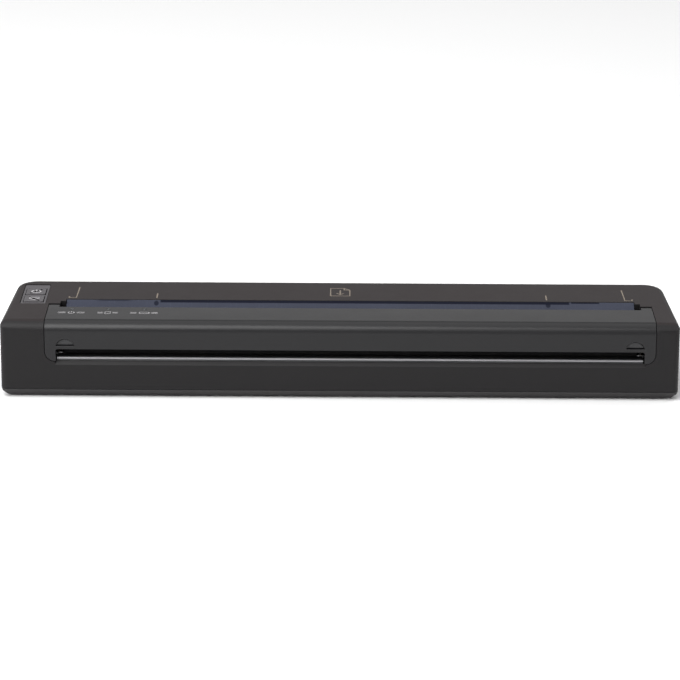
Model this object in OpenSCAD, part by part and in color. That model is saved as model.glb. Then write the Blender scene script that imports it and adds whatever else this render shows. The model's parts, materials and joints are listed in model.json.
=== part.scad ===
// Portable thermal printer for A4 sheets: a long flat case with a hinged front cover over the print
// mechanism, a feed slot on top, an exit slot in front, and a battery bay behind.
// X runs along the width, the front faces -Y, and Z = 0 is the surface that the feet stand on.

/* [Case] */
// Overall width
body_w = 255; // [245:1:275]
// Overall depth, front to rear
body_d = 55; // [54.5:0.5:60]
// Overall height, feet included
body_h = 30; // [29.5:0.5:33]
// Thickness of the moulded walls
wall = 2; // [1.6:0.1:2.2]
// How far each side leans in from front to rear
side_taper = 2.5; // [1:0.5:3.5]
// Radius of the upright front corners
front_corner_r = 2.5; // [1.5:0.5:4]
// Radius of the upright rear corners
rear_corner_r = 8; // [4:0.5:9]
// Radius of the top edge along the front
top_front_r = 4.3; // [2:0.1:5]
// Radius of the top edge along the rear
top_rear_r = 2.5; // [1.5:0.5:6]
// Radius of the top edges along the sides
top_side_r = 2.5; // [1.5:0.5:3]
// Height of the parting line between main case and bottom cover
rim_h = 3.5; // [3:0.25:4]
// Width of the chamfer round the bottom cover
rim_inset = 2.6; // [1.5:0.1:3]
// How far the feet stand below the bottom cover
foot_h = 0.6; // [0.4:0.1:1]
// Thickness of the bottom cover's plate
floor_t = 1.8; // [1.4:0.1:2.2]
// Visible gap between fixed and moving mouldings
seam = 0.3; // [0.25:0.05:0.4]

/* [Release cover] */
// Width of the case's closed left end section
left_end_w = 16.7; // [16.5:0.1:18]
// Width of the case's closed right end section
right_end_w = 9; // [8.8:0.1:11]
// Width of the ears beside the exit slot and of the hinge shoulders
ear_w = 4.3; // [4.2:0.1:5]
// Depth of the cover at its hinge shoulders, from the front
cover_d = 23.6; // [23:0.1:25]
// Depth of the cover's top between the shoulders
cover_top_d = 19.5; // [18.5:0.1:19.7]
// Height of the front wall that stays on the case
lip_z = 14.4; // [13.8:0.1:14.8]
// Chamfer along the top of that wall
lip_chamfer = 1.2; // [0.6:0.1:1.4]
// Radius of the cover's lower front corners
cover_corner_r = 4; // [2:0.5:5]
// Thickness of the cover's end walls
cover_end_t = 1.4; // [1.2:0.1:1.6]
// Outer radius of the hinge knuckles
knuckle_r = 2.1; // [1.9:0.1:2.4]
// Radius of the hinge pins
hinge_pin_r = 1; // [0.8:0.1:1.1]
// Running clearance between a pin or shaft and its bore, on the radius
run_fit = 0.05; // [0.03:0.01:0.08]

/* [Paper path] */
// Underside of the exit slot
slot_z = 15.75; // [15.6:0.05:16.4]
// Height of the exit slot
slot_h = 3.5; // [3:0.05:3.8]
// Width of the open notches at the ends of the feed ramp
notch_w = 1.9; // [1.2:0.1:2.5]
// Depth of the feed ramp's rear edge, from the front
ramp_rear_d = 29.5; // [29:0.1:30]
// Depth of the notches' rear edge, from the front
notch_rear_d = 27; // [26:0.1:28]
// Thickness of the ramp and of the guides
guide_t = 1.3; // [1:0.1:1.5]
// Free space between the ramp and the cover's inner guide
paper_gap = 1.2; // [0.8:0.1:1.4]
// Height of the bright tear bar
tear_bar_h = 0.7; // [0.5:0.05:0.9]

/* [Platen and drive] */
// Depth of the platen's axis, from the front
platen_d = 13.5; // [13.2:0.1:13.8]
// Height of the platen's axis
platen_z = 13.5; // [13.2:0.1:13.7]
// Outer radius of the platen's rubber
platen_r = 5.5; // [5.2:0.1:5.6]
// Radius of the platen's steel core
core_r = 3.8; // [3:0.1:4.2]
// Radius of the platen's journals
journal_r = 2.5; // [2:0.1:2.8]
// Length of the rubber
rubber_len = 217; // [212:1:217]
// Distance from the exit slot's left end to the rubber
rubber_from_slot = 1.85; // [1.6:0.05:1.9]
// Outer radius of the bearings
bearing_r = 4; // [3.6:0.1:4.4]
// Thickness of the steel side plates
plate_t = 1; // [0.8:0.1:1.2]
// Gear module
gear_module = 0.6; // [0.58:0.01:0.62]
// Teeth of the motor's pinion
pinion_teeth = 12; // [12:1:13]
// Teeth of the idler gear
idler_teeth = 16; // [15:1:17]
// Teeth of the platen gear
platen_teeth = 22; // [21:1:23]
// Width of the gears
gear_w = 2.7; // [2:0.1:3]
// Play between meshing teeth at the pitch circle
backlash = 0.14; // [0.1:0.01:0.2]
// Distance from the platen's axis back to the motor's axis
motor_back = 11.8; // [11.7:0.1:11.9]
// Distance from the platen's axis down to the motor's axis
motor_drop = 3.9; // [3.6:0.1:4.1]
// Radius of the motor
motor_r = 5; // [4.6:0.1:5]
// Length of the motor
motor_len = 26; // [20:1:30]
// Radius of the steel stay between the side plates
stay_r = 1.2; // [1:0.1:1.3]

/* [Thermal head] */
// Gap between head and platen with no sheet between them
head_gap = 0.1; // [0.08:0.01:0.15]
// Depth of the head, front to rear
head_d = 10.6; // [10:0.1:10.8]
// Thickness of the ceramic head
head_t = 1; // [0.8:0.1:1.2]
// Thickness of the heat sink
sink_t = 2.6; // [2:0.1:2.8]
// Thickness of the steel bracket
bracket_t = 0.8; // [0.6:0.1:1]
// Radius of the head's pivot pins
head_pin_r = 0.9; // [0.8:0.1:1]
// Outer radius of the head springs
head_spring_r = 1.8; // [1.5:0.1:1.9]
// Number of head springs
head_spring_count = 4; // [3:1:5]

/* [Latch] */
// Radius of the latch rod
rod_r = 1.2; // [1:0.1:1.3]
// Width of a finger grip
grip_w = 6.8; // [6:0.1:7.4]
// Height of a finger grip
grip_h = 2.6; // [2.2:0.1:2.8]
// How far the tab in a grip lies behind the front face
grip_recess = 0.8; // [0.5:0.1:1]
// Width of a latch hook
hook_w = 1.8; // [1.4:0.1:1.9]
// Radius of the catch pins
catch_r = 0.9; // [0.7:0.1:1]

/* [Buttons and lights] */
// Width of the light button panel
panel_w = 9.8; // [9.4:0.1:10]
// Length of the panel, front to rear
panel_len = 25; // [23:0.5:26]
// Distance of the panel from the case's left side
panel_from_side = 5.5; // [5:0.1:5.7]
// Depth of the panel's front edge, from the front
panel_front_d = 23.8; // [23.5:0.1:25]
// Width of a button
button_w = 7.4; // [6.5:0.1:7.6]
// Length of a button, front to rear
button_len = 8.4; // [7.5:0.1:8.6]
// Spacing of the buttons
button_pitch = 9.5; // [9.3:0.1:10]
// Depth of the front button's centre, from the front
button_front_d = 30.3; // [30:0.1:31]
// Travel of the buttons
button_travel = 0.6; // [0.4:0.05:0.65]
// Radius of an indicator lens
lens_r = 0.7; // [0.5:0.05:1]
// Spacing of the indicators
lens_pitch = 13.7; // [10:0.1:15]
// Distance of the first indicator from the cover's left edge
lens_first = 9.4; // [9:0.1:12]
// Depth of the indicators, from the front
lens_d = 16.7; // [16.4:0.1:16.9]

/* [Battery bay] */
// Length of the battery pack
battery_len = 196; // [180:1:200]
// Depth of the battery pack
battery_d = 19.4; // [18:0.1:19.4]
// Height of the battery pack
battery_h = 19.8; // [18:0.1:20.4]
// Distance from the release cover's left edge to the battery pack
battery_from_cover = 14.65; // [12:0.05:16]
// How far the battery door reaches past each end of the pack
door_over = 2; // [1:0.5:3]
// Height of the battery door
door_h = 20.2; // [19:0.1:20.4]
// Travel of the door's thumb catch
catch_travel = 1.2; // [0.8:0.1:1.4]

/* [Ports and feet] */
// Length of the rubber port cover, front to rear
port_len = 16.2; // [15.8:0.1:16.6]
// Height of the port cover
port_h = 8; // [7.6:0.1:8.6]
// Thickness of the port cover
port_t = 1.1; // [1:0.1:1.2]
// Radius of a rubber foot
foot_r = 4; // [3:0.5:5]
// Radius of a screw's shank
screw_r = 1; // [0.8:0.1:1.1]
// Radius of a screw's head
screw_head_r = 1.9; // [1.6:0.1:2]

/* [Hidden] */
$fn = 48;

// Colours
case_black = [0.24, 0.235, 0.24];
cover_black = [0.30, 0.295, 0.30];
panel_grey = [0.42, 0.41, 0.43];
ramp_navy = [0.16, 0.17, 0.23];
steel = [0.72, 0.72, 0.74];
board_green = [0.07, 0.30, 0.16];
gear_white = [0.86, 0.85, 0.80];
soft_black = [0.10, 0.10, 0.10];
chip_black = [0.12, 0.12, 0.13];

over = 1;
fix_fit = 0.02;
least_r = 0.4;
rib_t = 1.6;
// Radii of the plan's corners and of the top edges that start at them, from the front left corner on
corner_radii = [front_corner_r, front_corner_r, rear_corner_r, rear_corner_r];
edge_radii = [top_front_r, top_side_r, top_rear_r, top_side_r];
front_y = -body_d / 2;
rear_y = body_d / 2;
inner_top = body_h - wall;
floor_z = foot_h + floor_t;
rim_wall = wall + rim_inset / 2;
floor_bite = 0.2;

// The release cover's opening in the case, and the slots between its ears
cover_l = left_end_w - body_w / 2;
cover_r = body_w / 2 - right_end_w;
slot_l = cover_l + ear_w;
slot_r = cover_r - ear_w;
slot_mid = (slot_l + slot_r) / 2;
slot_top = slot_z + slot_h;
ramp_l = slot_l + notch_w;
ramp_r = slot_r - notch_w;
cover_top_y = front_y + cover_top_d;
pivot_y = front_y + cover_d - knuckle_r;
pivot_z = body_h - knuckle_r;
deck_front_y = pivot_y + knuckle_r + seam;
ramp_rear_y = front_y + ramp_rear_d;
notch_rear_y = front_y + notch_rear_d;

// Where the platen and its gears turn
platen_y = front_y + platen_d;
motor_y = platen_y + motor_back;
motor_z = platen_z - motor_drop;
pinion_pitch_r = gear_module * pinion_teeth / 2;
idler_pitch_r = gear_module * idler_teeth / 2;
platen_pitch_r = gear_module * platen_teeth / 2;
motor_to_platen = norm([motor_back, motor_drop]);
motor_to_idler = pinion_pitch_r + idler_pitch_r;
idler_to_platen = idler_pitch_r + platen_pitch_r;
// The idler stands where both centre distances meet, above the line from motor to platen
idler_along = (pow(motor_to_idler, 2) - pow(idler_to_platen, 2) + pow(motor_to_platen, 2))
    / (2 * motor_to_platen);
idler_above = sqrt(pow(motor_to_idler, 2) - pow(idler_along, 2));
to_platen = [-motor_back, motor_drop] / motor_to_platen;
idler_y = motor_y + idler_along * to_platen.x + idler_above * to_platen.y;
idler_z = motor_z + idler_along * to_platen.y - idler_above * to_platen.x;
// Each gear is turned so that a tooth meets a gap in the gear that drives it
pinion_turn = 0;
pinion_to_idler = atan2(idler_z - motor_z, idler_y - motor_y);
idler_turn = meshing_turn(pinion_turn, pinion_teeth, idler_teeth, pinion_to_idler);
idler_to_platen_dir = atan2(platen_z - idler_z, platen_y - idler_y);
platen_turn = meshing_turn(idler_turn, idler_teeth, platen_teeth, idler_to_platen_dir);
pressure_angle = 25;
addendum = 0.88 * gear_module;
dedendum = 1.12 * gear_module;
flank_steps = 4;

left_cheek_x = cover_l - wall;
right_cheek_x = cover_r + wall;
left_plate_x = left_cheek_x - plate_t;
right_plate_x = right_cheek_x + plate_t;
bearing_flange_t = 0.8;
bearing_flange_r = bearing_r + 1;
gear_gap = 0.3;
gear_x = left_plate_x - bearing_flange_t - gear_gap - gear_w;
rubber_l = slot_l + rubber_from_slot;
rubber_r = rubber_l + rubber_len;
journal_end = 3.5;
stay_y = platen_y - 6.5;
stay_z = platen_z - 4;
plate_low_z = floor_z + 2.4;
plate_high_z = body_h - 5;
plate_rear_y = motor_y + motor_r;
plate_front_y = stay_y - 3;
plate_screw_inset = 2.4;
plate_screw_spots = [[plate_front_y + plate_screw_inset, plate_low_z + plate_screw_inset],
    [plate_rear_y - plate_screw_inset, plate_high_z - plate_screw_inset]];
plate_slope_d = 6;
plate_slope_h = 8;
plate_corner_r = 1;
motor_boss_r = 2.3;
motor_boss_fit = 0.1;
motor_cap_len = 1.2;
motor_shaft_r = 0.8;
idler_shaft_r = 1.5;
idler_collar_r = 2.3;
idler_collar_t = 0.8;

// The thermal head hangs in the cover over the platen
contact_z = platen_z + platen_r + head_gap;
head_rear_y = platen_y + 4.2;
head_front_y = head_rear_y - head_d;
sink_z = contact_z + head_t;
bracket_z = sink_z + sink_t;
bracket_top = bracket_z + bracket_t;
head_l = rubber_l + 0.8;
head_r = rubber_r - 0.8;
head_pin_y = head_rear_y - 1.2;
head_pin_z = inner_top - 2.6;
head_lug_r = head_pin_r + 0.9;
head_ear_t = 1;
head_ear_rim = 0.6;
head_lug_t = 1.6;
head_side_gap = 0.3;
head_spring_y = head_pin_y - 4.6;
inner_guide_t = 0.9;
guide_y = head_rear_y + 0.5;
ramp_face_y = guide_y + inner_guide_t + paper_gap;
guide_low_z = sink_z + 0.6;
head_spring_spots = [for (i = [0:head_spring_count - 1])
    head_l + (head_r - head_l) * (i + 0.5) / head_spring_count];

// The feed ramp starts just under the deck, bends twice and stands on the wall of the battery bay
ramp_drop = 0.15;
ramp_bend_drop = 3.4;
ramp_bend_in = 1;
ramp_lean = 0.6;
ramp_foot_gap = 0.2;
ramp_foot_h = 3.8;
ramp_leg_in = 1.4;
ramp_leg_h = 4;
ramp_leg_fit = 0.1;

// The exit guide carries the lip's chamfer on, and the tear bar stands behind its upper edge
tear_bar_t = 1;
tear_bevel_h = 0.25;
tear_bevel_d = 0.3;
exit_fit = 0.1;
exit_z0 = lip_z + exit_fit;
exit_z1 = slot_z - exit_fit;
tear_z = exit_z1 - tear_bar_h;
exit_y = front_y + lip_chamfer + exit_fit;
tear_y = exit_y + tear_z - exit_z0;
exit_hook_fit = 0.2;
exit_hook_h = 3;
exit_hook_t = 1.2;
exit_rise = 0.6;

// Latch rod, its tabs in the finger grips, and the hooks that snap past the catch pins
rod_y = front_y + wall + 2.4;
rod_z = body_h - 5.4;
grip_z = slot_top + 1.35;
grip_fit = 0.3;
hub_r = rod_r + 0.8;
cover_in_l = cover_l + seam / 2 + cover_end_t;
cover_in_r = cover_r - seam / 2 - cover_end_t;
hook_low_z = lip_z + 0.8;
hook_nose_h = 1.2;
hook_t = 1.2;
catch_y = platen_y - 6.6;
catch_z = hook_low_z + hook_nose_h + catch_r + 0.3;
nose_tip_y = catch_y - 0.6;
grip_spots = [slot_l + grip_w / 2 + 0.1, slot_r - grip_w / 2 - 0.1];
hook_spots = [cover_in_l + 0.25, cover_in_r - 0.25 - hook_w];
tab_arm_w = 4.4;

// Buttons, panel and the board under them
panel_l = -body_w / 2 + panel_from_side;
panel_x = panel_l + panel_w / 2;
panel_y0 = front_y + panel_front_d;
panel_t = 1.2;
panel_sink = 0.3;
feed_button_y = front_y + button_front_d;
power_button_y = feed_button_y + button_pitch;
button_gap = 0.25;
button_flange = 0.5;
button_flange_t = 0.7;
button_foot_z = body_h - 2.7;
switch_h = 1;
switch_w = 4;
switch_top_z = button_foot_z - button_travel - 0.1;
button_board_t = 1;
button_board_z = switch_top_z - switch_h - button_board_t;
board_post_r = 1.2;
lens_y = front_y + lens_d;
lens_x0 = cover_l + lens_first;
lens_count = 3;
lens_flange_r = lens_r + 0.5;
led_board_z = inner_top - 2;
led_board_t = 1;

// Battery bay at the rear
battery_y1 = rear_y - wall - 1.4;
battery_y0 = battery_y1 - battery_d;
battery_z0 = floor_z + 1.8;
battery_l = cover_l + battery_from_cover;
battery_r = battery_l + battery_len;
bay_wall_y1 = battery_y0 - 0.3;
bay_wall_y0 = bay_wall_y1 - 1.3;
door_l = battery_l - door_over;
door_r = battery_r + door_over;
door_z0 = rim_h + 1.2;
door_z1 = door_z0 + door_h;
door_axis_y = rear_y - wall / 2;
door_axis_z = door_z1 - wall / 2;
door_pin_r = 0.5;
door_pin_len = 3;
hinge_pin_in = 3;
catch_x = (door_l + door_r) / 2;
catch_w = 14;
catch_h = 3.4;
catch_z0 = door_z0 + 2;
door_stop_w = 2;
door_stop_t = 0.9;
battery_edge_r = 3;
bay_rib_count = 5;
bay_rib_t = 2;
bay_rib_from_end = 4;
bay_rib_in = 1;
contact_count = 3;
contact_pitch = 4;
contact_w = 1.6;
contact_t = 0.25;
contact_h = 8;
contact_low = 2;
contact_block_t = 3.5;
contact_block_w = 12;
contact_block_top = 11;
contact_gap = 0.25;
contact_x = battery_l - contact_gap - contact_t;

// Ports in the left end
port_y0 = front_y + 32;
port_y1 = port_y0 + port_len;
port_z0 = rim_h + 1.7;
port_z1 = port_z0 + port_h;
port_face_x = -body_w / 2 + side_taper * (port_y1 - front_y) / body_d + 0.1;
port_back_x = port_face_x + port_t + 0.2;
port_axis_z = port_z1 - port_t / 2;
port_axis_x = port_face_x + port_t / 2;
trunnion_r = 0.35;
trunnion_len = 0.8;
io_board_z = floor_z + 1.8;
io_board_t = 1.2;
io_x0 = port_back_x + wall;
io_rib_in = 1.4;

main_board_z = floor_z + 2.6;
main_board_t = 1.2;
board_from_motor = 6.95;
board_from_rubber_end = 14;
main_board_l = cover_l + motor_len + motor_cap_len + board_from_motor;
main_board_r = rubber_r - board_from_rubber_end;
main_board_y0 = stay_y + stay_r + 0.4;
main_board_y1 = bay_wall_y0 - 0.4;
board_mid_y = (main_board_y0 + main_board_y1) / 2;
board_screw_in = 4;
board_screw_spots = [for (x = [main_board_l + board_screw_in, (main_board_l + main_board_r) / 2,
    main_board_r - board_screw_in]) [x, board_mid_y]];
main_post_r = 2;
board_screw_head_t = 0.7;
board_screw_bite = 2.5;
// Chips: distance from the board's left end, length, width and height
main_chip_x = 20;
main_chip_len = 9;
main_chip_w = 7;
main_chip_h = 1.2;
memory_x = 40;
memory_len = 7;
memory_w = 6;
memory_h = 1;
small_chip_count = 6;
small_chip_x = 52;
small_chip_pitch = 4;
small_chip_len = 2.4;
small_chip_w = 1.6;
small_chip_h = 0.9;
// Socket and radio module: distance of their left ends from the board's right end, and their sizes
socket_from_end = 34;
socket_len = 10;
socket_w = 5;
socket_h = 2.6;
radio_from_end = 20;
radio_len = 11;
radio_w = 7.6;
radio_h = 1.6;
radio_shift = 0.2;

post_r = 2.2;
flag_from_mid = 26;
flag_x = slot_mid + flag_from_mid;
flag_t = 1.6;
flag_slot = flag_t + 0.6;
flag_hub = 0.8;
flag_lug_t = 1.5;
flag_gap = 0.5;
flag_cut = 1.1;
flag_pin_len = 8;
flag_y = ramp_face_y + 4;
flag_z = guide_low_z + 1.6;
flag_pin_r = 0.7;
flag_tip_y = ramp_face_y - paper_gap + 0.3;
sensor_from_mid = 30;
sensor_x = slot_mid - sensor_from_mid;
sensor_len = 8;
sensor_window = 3;
sensor_d = 2.6;
sensor_h = 3;

// Bottom screws: four short posts behind the front wall, two tall ones at the rear
front_screw_y = front_y + wall + 3.2;
rear_screw_y = rear_y - wall - 3.2;
front_screws = [for (x = [slot_l + 2, slot_mid - 40, slot_mid + 40, slot_r - 2]) [x, front_screw_y]];
rear_screws = [[-body_w / 2 + 7.3, rear_screw_y], [body_w / 2 - 7.9, rear_screw_y]];
screw_spots = concat(front_screws, rear_screws);
screw_bite = 4.5;
pilot_spare = 0.5;
post_cap = 0.4;
front_post_top = floor_z + screw_bite + pilot_spare + post_cap;
screw_head_t = 1;
screw_slot_w = 0.5;
screw_slot_len = 2.2;
screw_slot_depth = 0.5;
screw_fit = 0.2;
foot_from_end = 34;
foot_from_front = 10.5;
foot_sink = 0.4;
foot_spots = [for (sx = [-1, 1], sy = [-1, 1])
    [sx * (body_w / 2 - foot_from_end), sy * (body_d / 2 - foot_from_front)]];

// ---- Functions and helper modules ----

function unit(v) = v / norm(v);

// Centre, first angle and turn of the arc of radius r that rounds the corner p between its neighbours
function corner_turn(a, p, b, r) =
    let (ua = unit(a - p), ub = unit(b - p), half = acos(ua * ub) / 2,
        start = p + ua * r / tan(half), centre = p + unit(ua + ub) * r / sin(half))
    [centre, atan2(start.y - centre.y, start.x - centre.x), 180 - 2 * half];

// Points of that arc, one more for each 1.5 mm of radius
function corner_arc(a, p, b, r) =
    r <= 0 ? [p] :
    let (turn = corner_turn(a, p, b, r), steps = 6 + floor(r / 1.5))
    [for (k = [0:steps]) let (at = turn[1] + turn[2] * k / steps) turn[0] + r * [cos(at), sin(at)]];

// Outline of a convex shape, given anticlockwise, with each corner rounded by its own radius
function rounded(points, radii) =
    let (n = len(points))
    [for (i = [0:n - 1]) each corner_arc(points[(i + n - 1) % n], points[i], points[(i + 1) % n], radii[i])];

function box_points(x0, y0, x1, y1) = [[x0, y0], [x1, y0], [x1, y1], [x0, y1]];

// Angle of a gear that meshes with a turned gear, which lies in the opposite direction of dir
function meshing_turn(turn, teeth, own_teeth, dir) =
    dir + 180 + (0.5 - (turn - dir) * teeth / 360) * 360 / own_teeth;

// Angle between the start of an involute and its point at radius r
function involute_angle(base_r, r) =
    r <= base_r ? 0 : let (t = sqrt(pow(r / base_r, 2) - 1)) t * 180 / PI - atan(t);

function gear_outline(teeth) =
    let (pitch_r = gear_module * teeth / 2, base_r = pitch_r * cos(pressure_angle),
        root_r = pitch_r - dedendum, tip_r = pitch_r + addendum,
        half_pitch = 90 / teeth - backlash / pitch_r * 90 / PI,
        from_r = max(root_r, base_r),
        radii = concat([root_r], [for (k = [0:flank_steps]) from_r + (tip_r - from_r) * k / flank_steps]),
        half = [for (r = radii) half_pitch + involute_angle(base_r, pitch_r) - involute_angle(base_r, r)],
        last = len(radii) - 1)
    [for (i = [0:teeth - 1], k = [0:2 * last + 1])
        let (up = k <= last, j = up ? k : 2 * last + 1 - k, a = i * 360 / teeth + (up ? -half[j] : half[j]))
        radii[j] * [cos(a), sin(a)]];

// Extrudes an outline drawn in Y and Z from x0 to x1
module along_x(x0, x1) {
    translate([x0, 0, 0])
        rotate([90, 0, 90])
            linear_extrude(x1 - x0)
                children();
}

// Extrudes an outline drawn in X and Z from y0 to y1
module along_y(y0, y1) {
    translate([0, y1, 0])
        rotate([90, 0, 0])
            linear_extrude(y1 - y0)
                children();
}

module block(x0, x1, y0, y1, z0, z1) {
    translate([x0, y0, z0])
        cube([x1 - x0, y1 - y0, z1 - z0]);
}

module bar_x(x0, x1, y, z, r) {
    translate([x0, y, z])
        rotate([0, 90, 0])
            cylinder(r = r, h = x1 - x0);
}

module bar_y(y0, y1, x, z, r) {
    translate([x, y0, z])
        rotate([-90, 0, 0])
            cylinder(r = r, h = y1 - y0);
}

module post(x, y, z0, z1, r) {
    translate([x, y, z0])
        cylinder(r = r, h = z1 - z0);
}

function plan_corners(inset) = [
    [-body_w / 2 + inset, front_y + inset], [body_w / 2 - inset, front_y + inset],
    [body_w / 2 - side_taper - inset, rear_y - inset], [-body_w / 2 + side_taper + inset, rear_y - inset]];

// Runs along each edge of the plan in turn, with X along the edge and -Y outwards
module at_edges(inset) {
    corners = plan_corners(inset);
    for ($edge = [0:3]) {
        p = corners[$edge];
        q = corners[($edge + 1) % 4];
        $edge_len = norm(q - p);
        translate([p.x, p.y, 0])
            rotate([0, 0, atan2(q.y - p.y, q.x - p.x)])
                children();
    }
}

// What a rounding of radius r takes off a top edge, with X inwards from the edge
function edge_waste(r, top) = concat([for (a = [90:10:180]) [r + r * cos(a), top - r + r * sin(a)]],
    [[-over, top - r], [-over, top + over], [r, top + over]]);

// The printer's outer form, or a smaller one inside it, from z0 up
module case_form(inset, z0) {
    top = body_h - inset;
    plan = plan_corners(inset);
    plan_r = [for (r = corner_radii) max(r - inset, least_r)];
    edge_r = [for (r = edge_radii) max(r - inset, least_r)];
    difference() {
        translate([0, 0, z0])
            linear_extrude(top - z0)
                polygon(rounded(plan, plan_r));
        at_edges(inset)
            along_x(-over, $edge_len + over)
                polygon(edge_waste(edge_r[$edge], top));
        // The rounding runs on round the rear corners
        for (i = [2, 3]) {
            r = min(edge_r[i], edge_r[i - 1], plan_r[i] - least_r);
            turn = corner_turn(plan[i - 1], plan[i], plan[(i + 1) % 4], plan_r[i]);
            translate([turn[0].x, turn[0].y, 0])
                rotate([0, 0, turn[1]])
                    rotate_extrude(angle = turn[2])
                        polygon([for (at = edge_waste(r, top)) [plan_r[i] - at.x, at.y]]);
        }
    }
}

// Front outline of the release cover, grown or shrunk by its gap
module cover_outline(gap) {
    polygon(rounded(box_points(cover_l - gap, lip_z - gap, cover_r + gap, body_h + over),
        [cover_corner_r + gap, cover_corner_r + gap, 0, 0]));
}

// A finger grip seen from the front: flat below, arched above
module grip_outline(shrink) {
    w = grip_w / 2 - shrink;
    h = grip_h - 2 * shrink;
    arc_r = (w * w + h * h) / (2 * h);
    spread = asin(w / arc_r);
    polygon([for (a = [-spread:spread / 8:spread + 0.01]) [arc_r * sin(a), h - arc_r + arc_r * cos(a)]]);
}

// ---- Case ----

module case_ribs() {
    // Cheeks beside the cover, the wall in front of the battery and the screw posts
    block(left_cheek_x, cover_l, front_y, rear_y, rim_h, body_h);
    block(cover_r, right_cheek_x, front_y, rear_y, rim_h, body_h);
    block(left_cheek_x, right_cheek_x, bay_wall_y0, bay_wall_y1, floor_z + 0.3, body_h);
    for (at = rear_screws)
        post(at.x, at.y, floor_z + 0.1, body_h, post_r);
    for (at = front_screws) {
        post(at.x, at.y, floor_z + 0.1, front_post_top, post_r);
        block(at.x - rib_t / 2, at.x + rib_t / 2, front_y, at.y, rim_h, front_post_top);
    }
    // Stops behind the ends of the battery door
    for (x = [door_l, door_r])
        block(x - door_stop_w / 2, x + door_stop_w / 2, rear_y - wall - seam - door_stop_t,
            rear_y - wall - seam, rim_h, inner_top);
    // Seats of the button board
    for (y = [feed_button_y - 3.6, power_button_y + 3.6])
        block(panel_l - 2, panel_l + 0.2, y, y + 1.4, button_board_z + button_board_t, body_h);
}

module case_openings() {
    // Room for the release cover
    along_y(front_y - over, deck_front_y)
        intersection() {
            cover_outline(0);
            translate([cover_l, 0])
                square([cover_r - cover_l, body_h + over]);
        }
    along_x(cover_l + cover_corner_r, cover_r - cover_corner_r)
        polygon([[front_y - over, lip_z - lip_chamfer - over], [front_y + lip_chamfer + over, lip_z + over],
            [front_y - over, lip_z + over]]);
    // Feed slot with its notches
    block(slot_l, slot_r, deck_front_y - over, notch_rear_y, inner_top - over, body_h + over);
    block(ramp_l, ramp_r, deck_front_y - over, ramp_rear_y, inner_top - over, body_h + over);
    // Battery door
    along_y(rear_y - wall - over, rear_y + over)
        translate([door_l - seam, door_z0 - seam])
            square([door_r - door_l + 2 * seam, door_h + 2 * seam]);
    for (x = [door_l - seam - door_pin_len / 2, door_r + seam - door_pin_len / 2])
        bar_x(x, x + door_pin_len, door_axis_y, door_axis_z, door_pin_r);
    // Button panel: a shallow seat, and a window for each button's flange
    translate([0, 0, body_h - panel_t - panel_sink])
        linear_extrude(panel_t + panel_sink + over)
            panel_outline(0);
    for (y = [feed_button_y, power_button_y])
        block(panel_x - button_w / 2 - button_flange - button_gap, panel_x + button_w / 2 + button_flange
            + button_gap, y - button_len / 2 - button_gap, y + button_len / 2 + button_gap,
            inner_top - over, body_h);
    // Port recess, its window and the bores of the flap's trunnions
    block(-body_w, port_back_x, port_y0 - seam, port_y1 + seam, port_z0 - seam, port_z1 + seam);
    block(-body_w, io_x0 + over, port_y0 + 1, port_y1 - 1, port_z0 + 0.1, port_z1 - 1.6);
    bar_y(port_y0 - trunnion_len - 0.2, port_y1 + trunnion_len + 0.2, port_axis_x, port_axis_z,
        trunnion_r + run_fit);
    // Bores through the cheeks
    for (x = [left_cheek_x - over, cover_r - over])
        bar_x(x, x + wall + 2 * over, platen_y, platen_z, bearing_r + fix_fit);
    for (x = [left_cheek_x - over, cover_r - over]) {
        bar_x(x, x + wall + 2 * over, stay_y, stay_z, stay_r + fix_fit);
        bar_x(x, x + wall + 2 * over, pivot_y, pivot_z, hinge_pin_r + fix_fit);
        bar_x(x, x + wall + 2 * over, catch_y, catch_z, catch_r + fix_fit);
    }
    bar_x(left_cheek_x - over, cover_l + over, motor_y, motor_z, motor_boss_r + motor_boss_fit);
    for (at = plate_screw_spots)
        for (x = [left_cheek_x - over, cover_r - over])
            bar_x(x, x + wall + 2 * over, at.x, at.y, screw_r);
    // Pilot holes for the bottom screws
    for (at = screw_spots)
        post(at.x, at.y, floor_z, floor_z + screw_bite + pilot_spare, screw_r);
}

module main_case() {
    color(case_black)
        difference() {
            union() {
                difference() {
                    case_form(0, rim_h);
                    // The inner form with a backing below the port recess
                    difference() {
                        case_form(wall, rim_h - over);
                        block(-body_w, io_x0, port_y0 - 1.6, port_y1 + 1.6, 0, port_z1 + 1.6);
                    }
                }
                intersection() {
                    union() {
                        case_form(wall / 2, rim_h);
                        case_form(rim_wall + 0.3, floor_z + 0.1);
                    }
                    case_ribs();
                }
            }
            case_openings();
        }
}

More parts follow.
